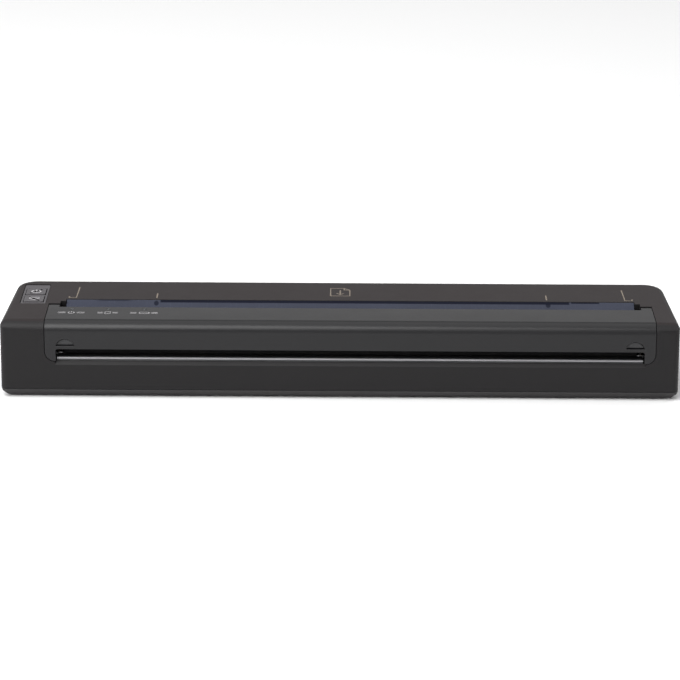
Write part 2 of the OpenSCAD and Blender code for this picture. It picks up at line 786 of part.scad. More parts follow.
module bottom_cover() {
    color(case_black)
        difference() {
            union() {
                difference() {
                    intersection() {
                        case_form(0, foot_h);
                        block(-body_w, body_w, -body_d, body_d, foot_h, rim_h - 0.05);
                    }
                    at_edges(0)
                        along_x(-over, $edge_len + over)
                            polygon([[rim_inset, foot_h], [0, rim_h], [-over, rim_h], [-over, -over],
                                [rim_inset, -over]]);
                    difference() {
                        case_form(rim_wall, floor_z);
                        block(-body_w, body_w, -body_d, body_d, rim_h, body_h);
                    }
                }
                // Ribs under the battery and posts under the boards
                for (i = [0:bay_rib_count - 1]) {
                    x = battery_l + bay_rib_from_end
                        + i * (battery_len - 2 * bay_rib_from_end - bay_rib_t) / (bay_rib_count - 1);
                    block(x, x + bay_rib_t, battery_y0 + bay_rib_in, battery_y1 - bay_rib_in,
                        floor_z - floor_bite, battery_z0);
                }
                for (at = board_screw_spots)
                    post(at.x, at.y, floor_z - floor_bite, main_board_z, main_post_r);
                block(io_x0 + io_rib_in, io_x0 + io_rib_in + bay_rib_t, port_y0, port_y1 - rib_t,
                    floor_z - floor_bite, io_board_z);
            }
            for (at = screw_spots) {
                post(at.x, at.y, 0, rim_h, screw_r + screw_fit);
                post(at.x, at.y, 0, foot_h + screw_head_t, screw_head_r + screw_fit);
            }
            for (at = board_screw_spots)
                post(at.x, at.y, floor_z, main_board_z + over, screw_r);
            for (at = foot_spots)
                post(at.x, at.y, 0, foot_h + foot_sink, foot_r);
        }
}

module rubber_feet() {
    color(soft_black)
        for (at = foot_spots)
            post(at.x, at.y, 0, foot_h + foot_sink, foot_r);
}

module screw(length) {
    cylinder(r = screw_r, h = length);
    difference() {
        cylinder(r = screw_head_r, h = screw_head_t);
        for (a = [0, 90])
            rotate([0, 0, a])
                translate([-screw_slot_len / 2, -screw_slot_w / 2, -over])
                    cube([screw_slot_len, screw_slot_w, over + screw_slot_depth]);
    }
}

module bottom_screws() {
    color(steel)
        for (at = screw_spots)
            translate([at.x, at.y, foot_h])
                screw(floor_t + screw_bite);
}

// ---- Paper path ----

module feed_ramp() {
    foot_z = guide_low_z + ramp_foot_gap;
    bend_z = body_h - ramp_bend_drop;
    leg_y = ramp_rear_y - ramp_leg_in;
    // The sheet slides down the first two points and turns down over the last two
    face = [[ramp_rear_y - seam / 2, body_h - ramp_drop], [deck_front_y - ramp_bend_in, bend_z],
        [ramp_face_y + ramp_lean, foot_z + ramp_foot_h], [ramp_face_y, foot_z]];
    back = [[ramp_face_y + guide_t, foot_z],
        [ramp_face_y + guide_t + ramp_lean, foot_z + ramp_foot_h - ramp_lean],
        [deck_front_y - ramp_foot_gap, bend_z - guide_t], [leg_y, inner_top - rib_t],
        [leg_y, inner_top - ramp_leg_h], [bay_wall_y0, inner_top - ramp_leg_h],
        [bay_wall_y0, inner_top - ramp_leg_fit], [ramp_rear_y - seam / 2, inner_top - ramp_leg_fit]];
    color(ramp_navy)
        difference() {
            union() {
                along_x(ramp_l + seam / 2, ramp_r - seam / 2)
                    polygon(concat(face, back));
                // Lugs that hold the flag lever's pin
                for (x = [flag_x - flag_t / 2 - flag_gap - flag_lug_t, flag_x + flag_t / 2 + flag_gap])
                    along_x(x, x + flag_lug_t)
                        polygon([[ramp_face_y + 0.8, foot_z], [flag_y + flag_t, foot_z],
                            [flag_y + flag_t, flag_z + 2],
                            [deck_front_y - seam, bend_z - ramp_foot_gap - guide_t],
                            [ramp_face_y + 1.2, foot_z + ramp_foot_h - ramp_lean]]);
            }
            // Slot for the flag lever and window for the sensor
            block(flag_x - flag_slot / 2, flag_x + flag_slot / 2, ramp_face_y - over,
                ramp_face_y + guide_t + flag_cut, guide_low_z - over, flag_z + flag_t);
            bar_x(flag_x - flag_pin_len / 2, flag_x + flag_pin_len / 2, flag_y, flag_z, flag_pin_r);
            block(sensor_x - sensor_window / 2, sensor_x + sensor_window / 2, ramp_face_y - over,
                ramp_face_y + guide_t + flag_cut, foot_z + 0.8, foot_z + 2.4);
        }
}

module exit_guide() {
    hook_y = front_y + wall + exit_hook_fit;
    color(soft_black)
        along_x(slot_l + seam, slot_r - seam)
            polygon([[exit_y, exit_z0], [hook_y, exit_z0], [hook_y, exit_z0 - exit_hook_h],
                [hook_y + exit_hook_t, exit_z0 - exit_hook_h], [hook_y + exit_hook_t, exit_z0 - exit_hook_fit],
                [catch_y, exit_z0 + exit_rise], [catch_y, exit_z1], [tear_y + tear_bar_t, exit_z1],
                [tear_y + tear_bar_t, tear_z], [tear_y, tear_z]]);
}

module tear_bar() {
    y1 = tear_y + tear_bar_t;
    color(steel)
        along_x(slot_l + seam, slot_r - seam)
            polygon([[tear_y, tear_z], [y1, tear_z], [y1, exit_z1], [tear_y + tear_bevel_d, exit_z1],
                [tear_y, exit_z1 - tear_bevel_h]]);
}

module paper_sensor() {
    color(chip_black)
        block(sensor_x - sensor_len / 2, sensor_x + sensor_len / 2, ramp_face_y + guide_t + ramp_lean,
            ramp_face_y + guide_t + ramp_lean + sensor_d, guide_low_z + ramp_foot_gap,
            guide_low_z + sensor_h);
}

module paper_flag() {
    color(gear_white)
        along_x(flag_x - flag_t / 2, flag_x + flag_t / 2)
            difference() {
                union() {
                    translate([flag_y, flag_z])
                        circle(flag_pin_r + flag_hub);
                    polygon([[flag_y, flag_z - flag_pin_r], [flag_y, flag_z + flag_pin_r],
                        [flag_tip_y, flag_z + 0.5], [flag_tip_y, flag_z - 0.3]]);
                }
                translate([flag_y, flag_z])
                    circle(flag_pin_r + run_fit);
            }
}

module flag_pin() {
    color(steel)
        bar_x(flag_x - flag_t / 2 - flag_gap - flag_lug_t, flag_x + flag_t / 2 + flag_gap + flag_lug_t,
            flag_y, flag_z, flag_pin_r);
}

// ---- Frame, platen and gears ----

module side_plate(x0, x1) {
    along_x(x0, x1)
        difference() {
            polygon(rounded([[plate_front_y, plate_low_z], [plate_rear_y, plate_low_z],
                [plate_rear_y, plate_high_z], [plate_front_y + plate_slope_d, plate_high_z],
                [plate_front_y, plate_high_z - plate_slope_h]], [for (i = [0:4]) plate_corner_r]));
            translate([platen_y, platen_z])
                circle(bearing_r + fix_fit);
            translate([stay_y, stay_z])
                circle(stay_r + fix_fit);
            for (at = plate_screw_spots)
                translate(at)
                    circle(screw_r + 0.1);
            children();
        }
}

module left_side_plate() {
    color(steel)
        side_plate(left_plate_x, left_cheek_x) {
            translate([motor_y, motor_z])
                circle(motor_boss_r + motor_boss_fit);
            translate([idler_y, idler_z])
                circle(idler_shaft_r + fix_fit);
        }
}

module right_side_plate() {
    color(steel)
        side_plate(right_cheek_x, right_plate_x);
}

module plate_screws() {
    color(steel)
        for (at = plate_screw_spots) {
            translate([left_plate_x - screw_head_t, at.x, at.y])
                rotate([0, 90, 0])
                    screw(plate_t + screw_head_t + wall);
            translate([right_plate_x + screw_head_t, at.x, at.y])
                rotate([0, -90, 0])
                    screw(plate_t + screw_head_t + wall);
        }
}

module frame_stay() {
    color(steel)
        bar_x(left_plate_x, right_plate_x, stay_y, stay_z, stay_r);
}

module bearing(inner_x, plate_x) {
    // A bush through cheek and plate, with its flange outside the plate
    dir = plate_x < inner_x ? -1 : 1;
    flange_x = plate_x + dir * bearing_flange_t;
    difference() {
        union() {
            bar_x(min(inner_x, plate_x), max(inner_x, plate_x), platen_y, platen_z, bearing_r);
            bar_x(min(plate_x, flange_x), max(plate_x, flange_x), platen_y, platen_z, bearing_flange_r);
        }
        bar_x(min(inner_x, flange_x) - over, max(inner_x, flange_x) + over, platen_y, platen_z,
            journal_r + run_fit);
    }
}

module left_bearing() {
    color([0.75, 0.6, 0.3])
        bearing(cover_l, left_plate_x);
}

module right_bearing() {
    color([0.75, 0.6, 0.3])
        bearing(cover_r, right_plate_x);
}

module platen_shaft() {
    color(steel) {
        bar_x(gear_x - 0.8, right_plate_x + bearing_flange_t + 0.5, platen_y, platen_z, journal_r);
        bar_x(rubber_l - journal_end / 2, rubber_r + journal_end / 2, platen_y, platen_z, core_r);
    }
}

module platen_rubber() {
    color(soft_black)
        difference() {
            bar_x(rubber_l, rubber_r, platen_y, platen_z, platen_r);
            bar_x(rubber_l - over, rubber_r + over, platen_y, platen_z, core_r);
        }
}

module gear(teeth, turn, y, z, bore_r) {
    along_x(gear_x, gear_x + gear_w)
        translate([y, z])
            difference() {
                rotate(turn)
                    polygon(gear_outline(teeth));
                circle(bore_r);
            }
}

module platen_gear() {
    color(gear_white)
        difference() {
            gear(platen_teeth, platen_turn, platen_y, platen_z, journal_r);
            difference() {
                bar_x(gear_x - over, gear_x + 0.7, platen_y, platen_z, platen_pitch_r - 1.6);
                bar_x(gear_x - 2 * over, gear_x + over, platen_y, platen_z, journal_r + 1);
            }
        }
}

module idler_gear() {
    color(gear_white)
        gear(idler_teeth, idler_turn, idler_y, idler_z, idler_shaft_r + run_fit);
}

module idler_shaft() {
    color(steel) {
        bar_x(gear_x - gear_gap, left_cheek_x, idler_y, idler_z, idler_shaft_r);
        bar_x(gear_x - gear_gap - idler_collar_t, gear_x - gear_gap, idler_y, idler_z, idler_collar_r);
        bar_x(gear_x + gear_w + gear_gap, left_plate_x, idler_y, idler_z, idler_collar_r);
    }
}

module motor() {
    color(steel) {
        bar_x(cover_l, cover_l + motor_len, motor_y, motor_z, motor_r);
        difference() {
            bar_x(left_plate_x - 0.2, cover_l + over, motor_y, motor_z, motor_boss_r);
            bar_x(left_plate_x - over, cover_l, motor_y, motor_z, motor_shaft_r + run_fit);
        }
        bar_x(cover_l + motor_len, cover_l + motor_len + motor_cap_len, motor_y, motor_z, motor_r / 2);
    }
}

module motor_pinion() {
    color("goldenrod")
        gear(pinion_teeth, pinion_turn, motor_y, motor_z, motor_shaft_r);
    color(steel)
        bar_x(gear_x - 0.4, cover_l - 0.2, motor_y, motor_z, motor_shaft_r);
}

// ---- Electronics ----

module main_board() {
    color(board_green)
        difference() {
            block(main_board_l, main_board_r, main_board_y0, main_board_y1, main_board_z,
                main_board_z + main_board_t);
            for (at = board_screw_spots)
                post(at.x, at.y, main_board_z - over, main_board_z + main_board_t + over, screw_r + 0.1);
        }
}

module board_screws() {
    color(steel)
        for (at = board_screw_spots)
            translate([at.x, at.y, main_board_z + main_board_t + board_screw_head_t])
                mirror([0, 0, 1])
                    union() {
                        cylinder(r = screw_r, h = main_board_t + board_screw_bite);
                        cylinder(r = screw_head_r, h = board_screw_head_t);
                    }
}

// A part on the main board, from x to the right and evenly about y
module chip(x, length, y, width, height) {
    z0 = main_board_z + main_board_t;
    block(x, x + length, y - width / 2, y + width / 2, z0, z0 + height);
}

module board_chips() {
    color(chip_black) {
        chip(main_board_l + main_chip_x, main_chip_len, motor_y, main_chip_w, main_chip_h);
        chip(main_board_l + memory_x, memory_len, motor_y, memory_w, memory_h);
        for (i = [0:small_chip_count - 1])
            chip(main_board_l + small_chip_x + i * small_chip_pitch, small_chip_len, motor_y, small_chip_w,
                small_chip_h);
        chip(main_board_r - socket_from_end, socket_len, motor_y, socket_w, socket_h);
    }
}

module radio_module() {
    color(steel)
        chip(main_board_r - radio_from_end, radio_len, motor_y - radio_shift, radio_w, radio_h);
}

module io_board() {
    color(board_green)
        block(io_x0 + 0.3, left_plate_x - 0.5, port_y0, port_y1 - 1, io_board_z, io_board_z + io_board_t);
}

module data_port() {
    z0 = io_board_z + io_board_t;
    color(steel)
        difference() {
            block(port_back_x + 0.8, io_x0 + 7.5, port_y0 + 1.6, port_y0 + 9.2, z0, z0 + 3.6);
            block(port_back_x, io_x0 + 6.5, port_y0 + 2.1, port_y0 + 8.7, z0 + 0.5, z0 + 3.1);
        }
}

module power_inlet() {
    z0 = io_board_z + io_board_t;
    y = port_y1 - 3.8;
    z = z0 + 1.9;
    color(chip_black)
        difference() {
            block(port_back_x + 0.8, io_x0 + 8.5, y - 2.6, y + 2.6, z0, z0 + 4);
            translate([port_back_x, y, z])
                rotate([0, 90, 0])
                    cylinder(r = 1.7, h = 8);
        }
}

module port_cover() {
    color(soft_black)
        difference() {
            union() {
                block(port_face_x, port_face_x + port_t, port_y0, port_y1, port_z0, port_axis_z);
                bar_y(port_y0, port_y1, port_axis_x, port_axis_z, port_t / 2);
                bar_y(port_y0 - trunnion_len, port_y1 + trunnion_len, port_axis_x, port_axis_z, trunnion_r);
            }
            // Finger notch under the lower edge
            bar_x(port_face_x - over, port_face_x + 0.5, (port_y0 + port_y1) / 2, port_z0, 1.8);
        }
}

module button_switches() {
    color(chip_black)
        for (y = [feed_button_y, power_button_y])
            union() {
                block(panel_x - switch_w / 2, panel_x + switch_w / 2, y - switch_w / 2, y + switch_w / 2,
                    button_board_z + button_board_t, switch_top_z - 0.3);
                post(panel_x, y, switch_top_z - 0.5, switch_top_z, 1);
            }
}

module button_board() {
    color(board_green)
        block(panel_l - 0.8, left_plate_x - 0.3, feed_button_y - 4, power_button_y + 5.4, button_board_z,
            button_board_z + button_board_t);
}

module panel_outline(shrink) {
    polygon(rounded(box_points(panel_l + shrink, panel_y0 + shrink, panel_l + panel_w - shrink,
        panel_y0 + panel_len - shrink), [0.8, 0.8, 0.8, 0.8]));
}

module button_panel() {
    color(panel_grey)
        translate([0, 0, body_h - panel_t - panel_sink])
            linear_extrude(panel_t)
                difference() {
                    panel_outline(0.1);
                    for (y = [feed_button_y, power_button_y])
                        translate([panel_x - button_w / 2 - button_gap, y - button_len / 2 - button_gap])
                            square([button_w + 2 * button_gap, button_len + 2 * button_gap]);
                }
}

module push_button(y) {
    flange_z = body_h - panel_sink - panel_t - 0.1 - button_flange_t;
    color(panel_grey)
        union() {
            translate([0, 0, flange_z])
                linear_extrude(body_h - flange_z)
                    polygon(rounded(box_points(panel_x - button_w / 2, y - button_len / 2,
                        panel_x + button_w / 2, y + button_len / 2), [0.8, 0.8, 0.8, 0.8]));
            block(panel_x - button_w / 2 - button_flange, panel_x + button_w / 2 + button_flange,
                y - button_len / 2, y + button_len / 2, flange_z, flange_z + button_flange_t);
            post(panel_x, y, button_foot_z, flange_z + button_flange_t, 1.2);
        }
}

module power_button() {
    push_button(power_button_y);
}

module feed_button() {
    push_button(feed_button_y);
}

module cover_switch() {
    color(chip_black)
        block(left_plate_x - 4, left_plate_x, platen_y - 1, platen_y + 5,
            platen_z + platen_pitch_r + 1.1, plate_high_z - 0.4);
}

// ---- Battery ----

module battery_pack() {
    color([0.16, 0.17, 0.2])
        along_x(battery_l, battery_r)
            polygon(rounded(box_points(battery_y0, battery_z0, battery_y1, battery_z0 + battery_h),
                [for (i = [0:3]) battery_edge_r]));
}

module battery_contacts() {
    mid_y = (battery_y0 + battery_y1) / 2;
    color("goldenrod")
        for (i = [0:contact_count - 1]) {
            y = mid_y + (i - (contact_count - 1) / 2) * contact_pitch;
            block(contact_x, contact_x + contact_t, y - contact_w / 2, y + contact_w / 2,
                battery_z0 + contact_low, battery_z0 + contact_low + contact_h);
        }
    color(chip_black)
        block(contact_x - contact_block_t, contact_x, mid_y - contact_block_w / 2,
            mid_y + contact_block_w / 2, floor_z, battery_z0 + contact_block_top);
}

module battery_door() {
    inner_y = rear_y - wall;
    color(case_black)
        difference() {
            union() {
                block(door_l, door_r, inner_y, rear_y, door_z0, door_axis_z);
                bar_x(door_l, door_r, door_axis_y, door_axis_z, wall / 2);
            }
            // Bores for the hinge pins, and the window and rebate of the thumb catch
            for (x = [door_l - over, door_r - door_pin_len])
                bar_x(x, x + door_pin_len + over, door_axis_y, door_axis_z, door_pin_r + run_fit);
            block(catch_x - catch_w / 2 - seam, catch_x + catch_w / 2 + seam, inner_y - over, rear_y + over,
                catch_z0 - seam, catch_z0 + catch_h + catch_travel + seam);
        }
}

module door_pins() {
    color(steel)
        for (x = [door_l - seam - door_pin_len / 2, door_r + seam - door_pin_len / 2])
            bar_x(x, x + door_pin_len, door_axis_y, door_axis_z, door_pin_r);
}

module door_catch() {
    inner_y = rear_y - wall;
    color(soft_black)
        difference() {
            union() {
                block(catch_x - catch_w / 2, catch_x + catch_w / 2, inner_y - 0.1, rear_y - 0.3, catch_z0,
                    catch_z0 + catch_h);
                block(catch_x - catch_w / 2 - 1.5, catch_x + catch_w / 2 + 1.5, inner_y - 0.9, inner_y - 0.1,
                    door_z0 + 0.2, catch_z0 + catch_h);
            }
            for (i = [0:2])
                block(catch_x - catch_w / 2 + 1, catch_x + catch_w / 2 - 1, rear_y - 0.7, rear_y,
                    catch_z0 + 0.7 + i, catch_z0 + 1.1 + i);
        }
}

// ---- Release cover ----

module release_cover() {
    edge = seam / 2;
    color(cover_black)
        difference() {
            union() {
                // Top and front wall
                intersection() {
                    difference() {
                        case_form(0, lip_z - over);
                        case_form(wall, lip_z - 2 * over);
                    }
                    along_y(front_y - over, cover_top_y)
                        cover_outline(-edge);
                }
                // End walls, above the catch pins
                intersection() {
                    case_form(wall / 2, lip_z);
                    for (x = [cover_l + edge, cover_in_r])
                        block(x, x + cover_end_t, front_y, cover_top_y, catch_z + catch_r + 0.6, body_h);
                }
                // Hinge shoulders with their knuckles
                for (x = [cover_l + edge, slot_r]) {
                    block(x, x + ear_w - edge, cover_top_y - over, pivot_y, pivot_z - knuckle_r, body_h);
                    bar_x(x, x + ear_w - edge, pivot_y, pivot_z, knuckle_r);
                }
                // Lugs of the head's pivot pins
                for (x = [head_l - head_side_gap - head_lug_t, head_r + head_side_gap]) {
                    bar_x(x, x + head_lug_t, head_pin_y, head_pin_z, head_lug_r);
                    block(x, x + head_lug_t, head_pin_y - head_lug_r, head_pin_y + head_lug_r, head_pin_z,
                        body_h - wall / 2);
                }
                // Posts of the indicator board
                for (i = [0:lens_count - 2])
                    post(lens_x0 + (i + 0.5) * lens_pitch, lens_y, led_board_z + led_board_t,
                        body_h - wall / 2, board_post_r);
            }
            // Exit slot, open below between the ears
            along_y(front_y - over, front_y + 3 * wall)
                polygon(rounded(box_points(slot_l, 0, slot_r, slot_top), [0, 0, 0.6, 0.6]));
            // Finger grips
            for (x = grip_spots)
                along_y(front_y - over, front_y + wall + over)
                    translate([x, grip_z])
                        grip_outline(0);
            // Bores of the hinge pins, the latch rod, the head pins and the lenses
            bar_x(cover_l - over, cover_l + hinge_pin_in + 0.2, pivot_y, pivot_z, hinge_pin_r + run_fit);
            bar_x(cover_r - hinge_pin_in - 0.2, cover_r + over, pivot_y, pivot_z, hinge_pin_r + run_fit);
            bar_x(cover_l - over, cover_in_l + over, rod_y, rod_z, rod_r + run_fit);
            bar_x(cover_in_r - over, cover_r + over, rod_y, rod_z, rod_r + run_fit);
            bar_x(head_l - head_side_gap - head_lug_t - over, head_l, head_pin_y, head_pin_z,
                head_pin_r + fix_fit);
            bar_x(head_r, head_r + head_side_gap + head_lug_t + over, head_pin_y, head_pin_z,
                head_pin_r + fix_fit);
            for (i = [0:lens_count - 1])
                post(lens_x0 + i * lens_pitch, lens_y, inner_top - over, body_h + over, lens_r + fix_fit);
        }
}

module cover_guide() {
    // The flange stops short of the indicator board and of the head's right lug
    flange_l = lens_x0 + (lens_count - 1) * lens_pitch + 6;
    color(soft_black) {
        block(head_l, head_r, guide_y, guide_y + inner_guide_t, guide_low_z, inner_top);
        block(flange_l, head_r - 4, guide_y - 1.6, guide_y + inner_guide_t, inner_top - 1, inner_top);
    }
}

module cover_hinge_pins() {
    color(steel) {
        bar_x(left_cheek_x, cover_l + hinge_pin_in, pivot_y, pivot_z, hinge_pin_r);
        bar_x(cover_r - hinge_pin_in, right_cheek_x, pivot_y, pivot_z, hinge_pin_r);
    }
}

module led_board() {
    color(board_green)
        block(lens_x0 - 0.9, lens_x0 + (lens_count - 1) * lens_pitch + 2.4, lens_y - 1.8, lens_y + 0.9,
            led_board_z, led_board_z + led_board_t);
    color("ivory")
        for (i = [0:lens_count - 1])
            block(lens_x0 + i * lens_pitch - 0.6, lens_x0 + i * lens_pitch + 0.6, lens_y - 0.6, lens_y + 0.6,
                led_board_z + led_board_t, led_board_z + led_board_t + 0.5);
}

module indicator_lenses() {
    color([0.8, 0.85, 0.85])
        for (i = [0:lens_count - 1]) {
            post(lens_x0 + i * lens_pitch, lens_y, inner_top - 0.3, body_h - 0.05, lens_r);
            post(lens_x0 + i * lens_pitch, lens_y, inner_top - 0.4, inner_top, lens_flange_r);
        }
}

// ---- Latch ----

module latch_rod() {
    color(steel)
        bar_x(cover_l + seam, cover_r - seam, rod_y, rod_z, rod_r);
}

module latch_hooks() {
    color(steel)
        for (x = hook_spots)
            along_x(x, x + hook_w)
                difference() {
                    union() {
                        translate([rod_y, rod_z])
                            circle(hub_r);
                        polygon([[rod_y - hook_t / 2, rod_z], [rod_y - hook_t / 2, hook_low_z],
                            [nose_tip_y - 0.3, hook_low_z], [nose_tip_y, hook_low_z + 0.3],
                            [nose_tip_y, hook_low_z + hook_nose_h],
                            [rod_y + hook_t / 2, hook_low_z + hook_nose_h], [rod_y + hook_t / 2, rod_z]]);
                    }
                    translate([rod_y, rod_z])
                        circle(rod_r + fix_fit);
                }
}

module finger_tabs() {
    tab_front = front_y + grip_recess;
    color(soft_black)
        for (x = grip_spots)
            difference() {
                union() {
                    along_y(tab_front, front_y + wall + 0.6)
                        translate([x, grip_z + grip_fit])
                            grip_outline(grip_fit);
                    block(x - tab_arm_w / 2, x + tab_arm_w / 2, front_y + wall + 0.4, rod_y,
                        grip_z + grip_fit, rod_z);
                    bar_x(x - tab_arm_w / 2, x + tab_arm_w / 2, rod_y, rod_z, hub_r);
                }
                bar_x(x - 3, x + 3, rod_y, rod_z, rod_r + fix_fit);
            }
}

module latch_spring() {
    color(steel)
        difference() {
            bar_x(slot_mid - 6, slot_mid + 6, rod_y, rod_z, rod_r + 0.8);
            bar_x(slot_mid - 7, slot_mid + 7, rod_y, rod_z, rod_r + 0.2);
        }
}

module catch_pins() {
    color(steel) {
        bar_x(left_cheek_x, hook_spots[0] + hook_w + 0.3, catch_y, catch_z, catch_r);
        bar_x(hook_spots[1] - 0.3, right_cheek_x, catch_y, catch_z, catch_r);
    }
}

// ---- Thermal head ----

module head_bracket() {
    color(steel)
        difference() {
            union() {
                block(head_l, head_r, head_front_y + 0.6, head_rear_y - 0.4, bracket_z, bracket_top);
                for (x = [head_l, head_r - head_ear_t]) {
                    block(x, x + head_ear_t, head_pin_y - head_pin_r - head_ear_rim, head_pin_y + head_pin_r,
                        bracket_z, head_pin_z);
                    bar_x(x, x + head_ear_t, head_pin_y, head_pin_z, head_pin_r + head_ear_rim);
                }
            }
            for (x = [head_l - over, head_r - head_ear_t - over])
                bar_x(x, x + head_ear_t + 2 * over, head_pin_y, head_pin_z, head_pin_r + run_fit);
        }
}

module head_sink() {
    groove = 1.1;
    color([0.8, 0.8, 0.82])
        along_x(head_l, head_r)
            difference() {
                translate([head_front_y, sink_z])
                    square([head_d - 0.4, sink_t]);
                for (i = [0:2])
                    translate([head_front_y - over, sink_z + 0.4 + i * 0.8])
                        square([over + groove, 0.4]);
            }
}

module thermal_head() {
    color([0.35, 0.25, 0.2])
        block(head_l, head_r, head_front_y + 0.3, head_rear_y, contact_z, sink_z);
}

module head_connector() {
    color("ivory")
        block(slot_mid - 12, slot_mid + 12, head_front_y - 1.4, head_front_y, sink_z - 0.4, sink_z + 2);
}

module head_pins() {
    color(steel) {
        bar_x(head_l - head_side_gap - head_lug_t, head_l + head_ear_t, head_pin_y, head_pin_z, head_pin_r);
        bar_x(head_r - head_ear_t, head_r + head_side_gap + head_lug_t, head_pin_y, head_pin_z, head_pin_r);
    }
}

module head_springs() {
    color(steel)
        for (x = head_spring_spots)
            difference() {
                post(x, head_spring_y, bracket_top, inner_top, head_spring_r);
                post(x, head_spring_y, bracket_top - over, inner_top + over, head_spring_r - 0.5);
            }
}

main_case();
bottom_cover();
rubber_feet();
bottom_screws();
feed_ramp();
exit_guide();
tear_bar();
left_side_plate();
right_side_plate();
plate_screws();
frame_stay();
left_bearing();
right_bearing();
platen_shaft();
platen_rubber();
platen_gear();
idler_gear();
idler_shaft();
motor();
motor_pinion();
main_board();
board_chips();
radio_module();
board_screws();
io_board();
data_port();
power_inlet();
port_cover();
battery_pack();
battery_contacts();
battery_door();
door_pins();
door_catch();
button_panel();
power_button();
feed_button();
button_board();
button_switches();
release_cover();
cover_guide();
cover_hinge_pins();
led_board();
indicator_lenses();
latch_rod();
latch_hooks();
finger_tabs();
latch_spring();
catch_pins();
head_bracket();
head_sink();
thermal_head();
head_connector();
head_pins();
head_springs();
paper_sensor();
paper_flag();
flag_pin();
cover_switch();
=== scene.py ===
"""Dresses the frame of a portable A4 thermal printer: every moulding, roller, gear, board and marking."""

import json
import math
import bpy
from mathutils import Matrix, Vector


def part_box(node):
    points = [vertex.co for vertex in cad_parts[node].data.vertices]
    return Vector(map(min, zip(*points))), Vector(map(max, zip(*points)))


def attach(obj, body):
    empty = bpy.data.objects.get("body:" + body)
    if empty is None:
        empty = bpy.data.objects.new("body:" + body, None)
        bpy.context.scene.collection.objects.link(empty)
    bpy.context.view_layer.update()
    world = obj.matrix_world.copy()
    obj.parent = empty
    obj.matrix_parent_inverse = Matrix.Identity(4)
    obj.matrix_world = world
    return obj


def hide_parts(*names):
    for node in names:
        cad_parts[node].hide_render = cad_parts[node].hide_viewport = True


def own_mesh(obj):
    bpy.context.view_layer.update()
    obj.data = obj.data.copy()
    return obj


bl_info = {
    "name": "Portable Page Printer",
    "version": (1, 0, 0),
    "blender": (4, 5, 0),
    "location": "3D View > Sidebar > Printer",
    "description": "Dresses the frame of a portable thermal printer with finished pieces and materials",
    "category": "Object",
}

import bmesh
import bpy
from bpy.props import FloatProperty, FloatVectorProperty, IntProperty, PointerProperty
from mathutils import Matrix, Vector

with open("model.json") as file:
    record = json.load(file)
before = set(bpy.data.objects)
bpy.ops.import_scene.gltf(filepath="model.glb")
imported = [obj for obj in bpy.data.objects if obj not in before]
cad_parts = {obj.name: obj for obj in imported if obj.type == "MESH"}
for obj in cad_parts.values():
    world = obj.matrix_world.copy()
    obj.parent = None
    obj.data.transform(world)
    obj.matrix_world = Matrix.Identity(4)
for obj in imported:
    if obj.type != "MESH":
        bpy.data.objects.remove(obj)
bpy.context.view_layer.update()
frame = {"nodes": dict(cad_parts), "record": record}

MM = 0.001
CASE_LOW, CASE_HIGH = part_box("main_case")
DECK_Z = CASE_HIGH.z
FRONT_Y = CASE_LOW.y

# ---------------------------------------------------------------- Sizes and colours


def length(name, about, millimetres, low=0.0, high=400.0):
    """A length that a user can change, given in millimetres."""
    return FloatProperty(name=name, description=about, default=millimetres * MM, min=low * MM,
                         max=high * MM, unit="LENGTH", subtype="DISTANCE", precision=5)


def tint(name, about, red, green, blue):
    """A linear colour that a user can change."""
    return FloatVectorProperty(name=name, description=about, default=(red, green, blue), size=3, min=0,
                               max=1, subtype="COLOR")


class PrinterSizes(bpy.types.PropertyGroup):
    """Sizes of the details that are added to the frame."""

    edge_soft: length("Soft edge", "Radius on the visible edges of the large mouldings", 0.22, 0.05, 0.5)
    fine_edge: length("Fine edge", "Radius on the edges of small pieces", 0.1, 0.02, 0.3)
    ink_width: length("Mark line", "Width of a printed guide line on the deck", 0.5, 0.2, 1.5)
    ink_height: length("Ink height", "How far printed ink stands up", 0.05, 0.02, 0.2)
    wide_mark_left: length("Left wide mark", "From the middle to the wide sheet's left mark", 100.7)
    wide_mark_right: length("Right wide mark", "From the middle to the wide sheet's right mark", 108.7)
    narrow_mark_left: length("Left narrow mark", "From the middle to the narrow sheet's left mark", 70.2)
    narrow_mark_right: length("Right narrow mark", "From the middle to the narrow sheet's right mark", 79.0)
    mark_front: length("Mark front", "Depth of the marks' front ends, from the front", 31.4)
    wide_mark_rear: length("Wide mark rear", "Depth of the wide marks' rear ends, from the front", 45.0)
    narrow_mark_rear: length("Narrow mark rear", "Depth of the narrow marks' rear ends, from the front", 37.5)
    tooth_pitch: length("Tooth pitch", "Spacing of the tear bar's teeth", 1.0, 0.6, 3.0)
    spring_wire: length("Spring wire", "Thickness of the head springs' wire", 0.36, 0.2, 0.6)
    spring_turns: IntProperty(name="Spring turns", description="Turns in each head spring", default=5, min=3,
                              max=8)


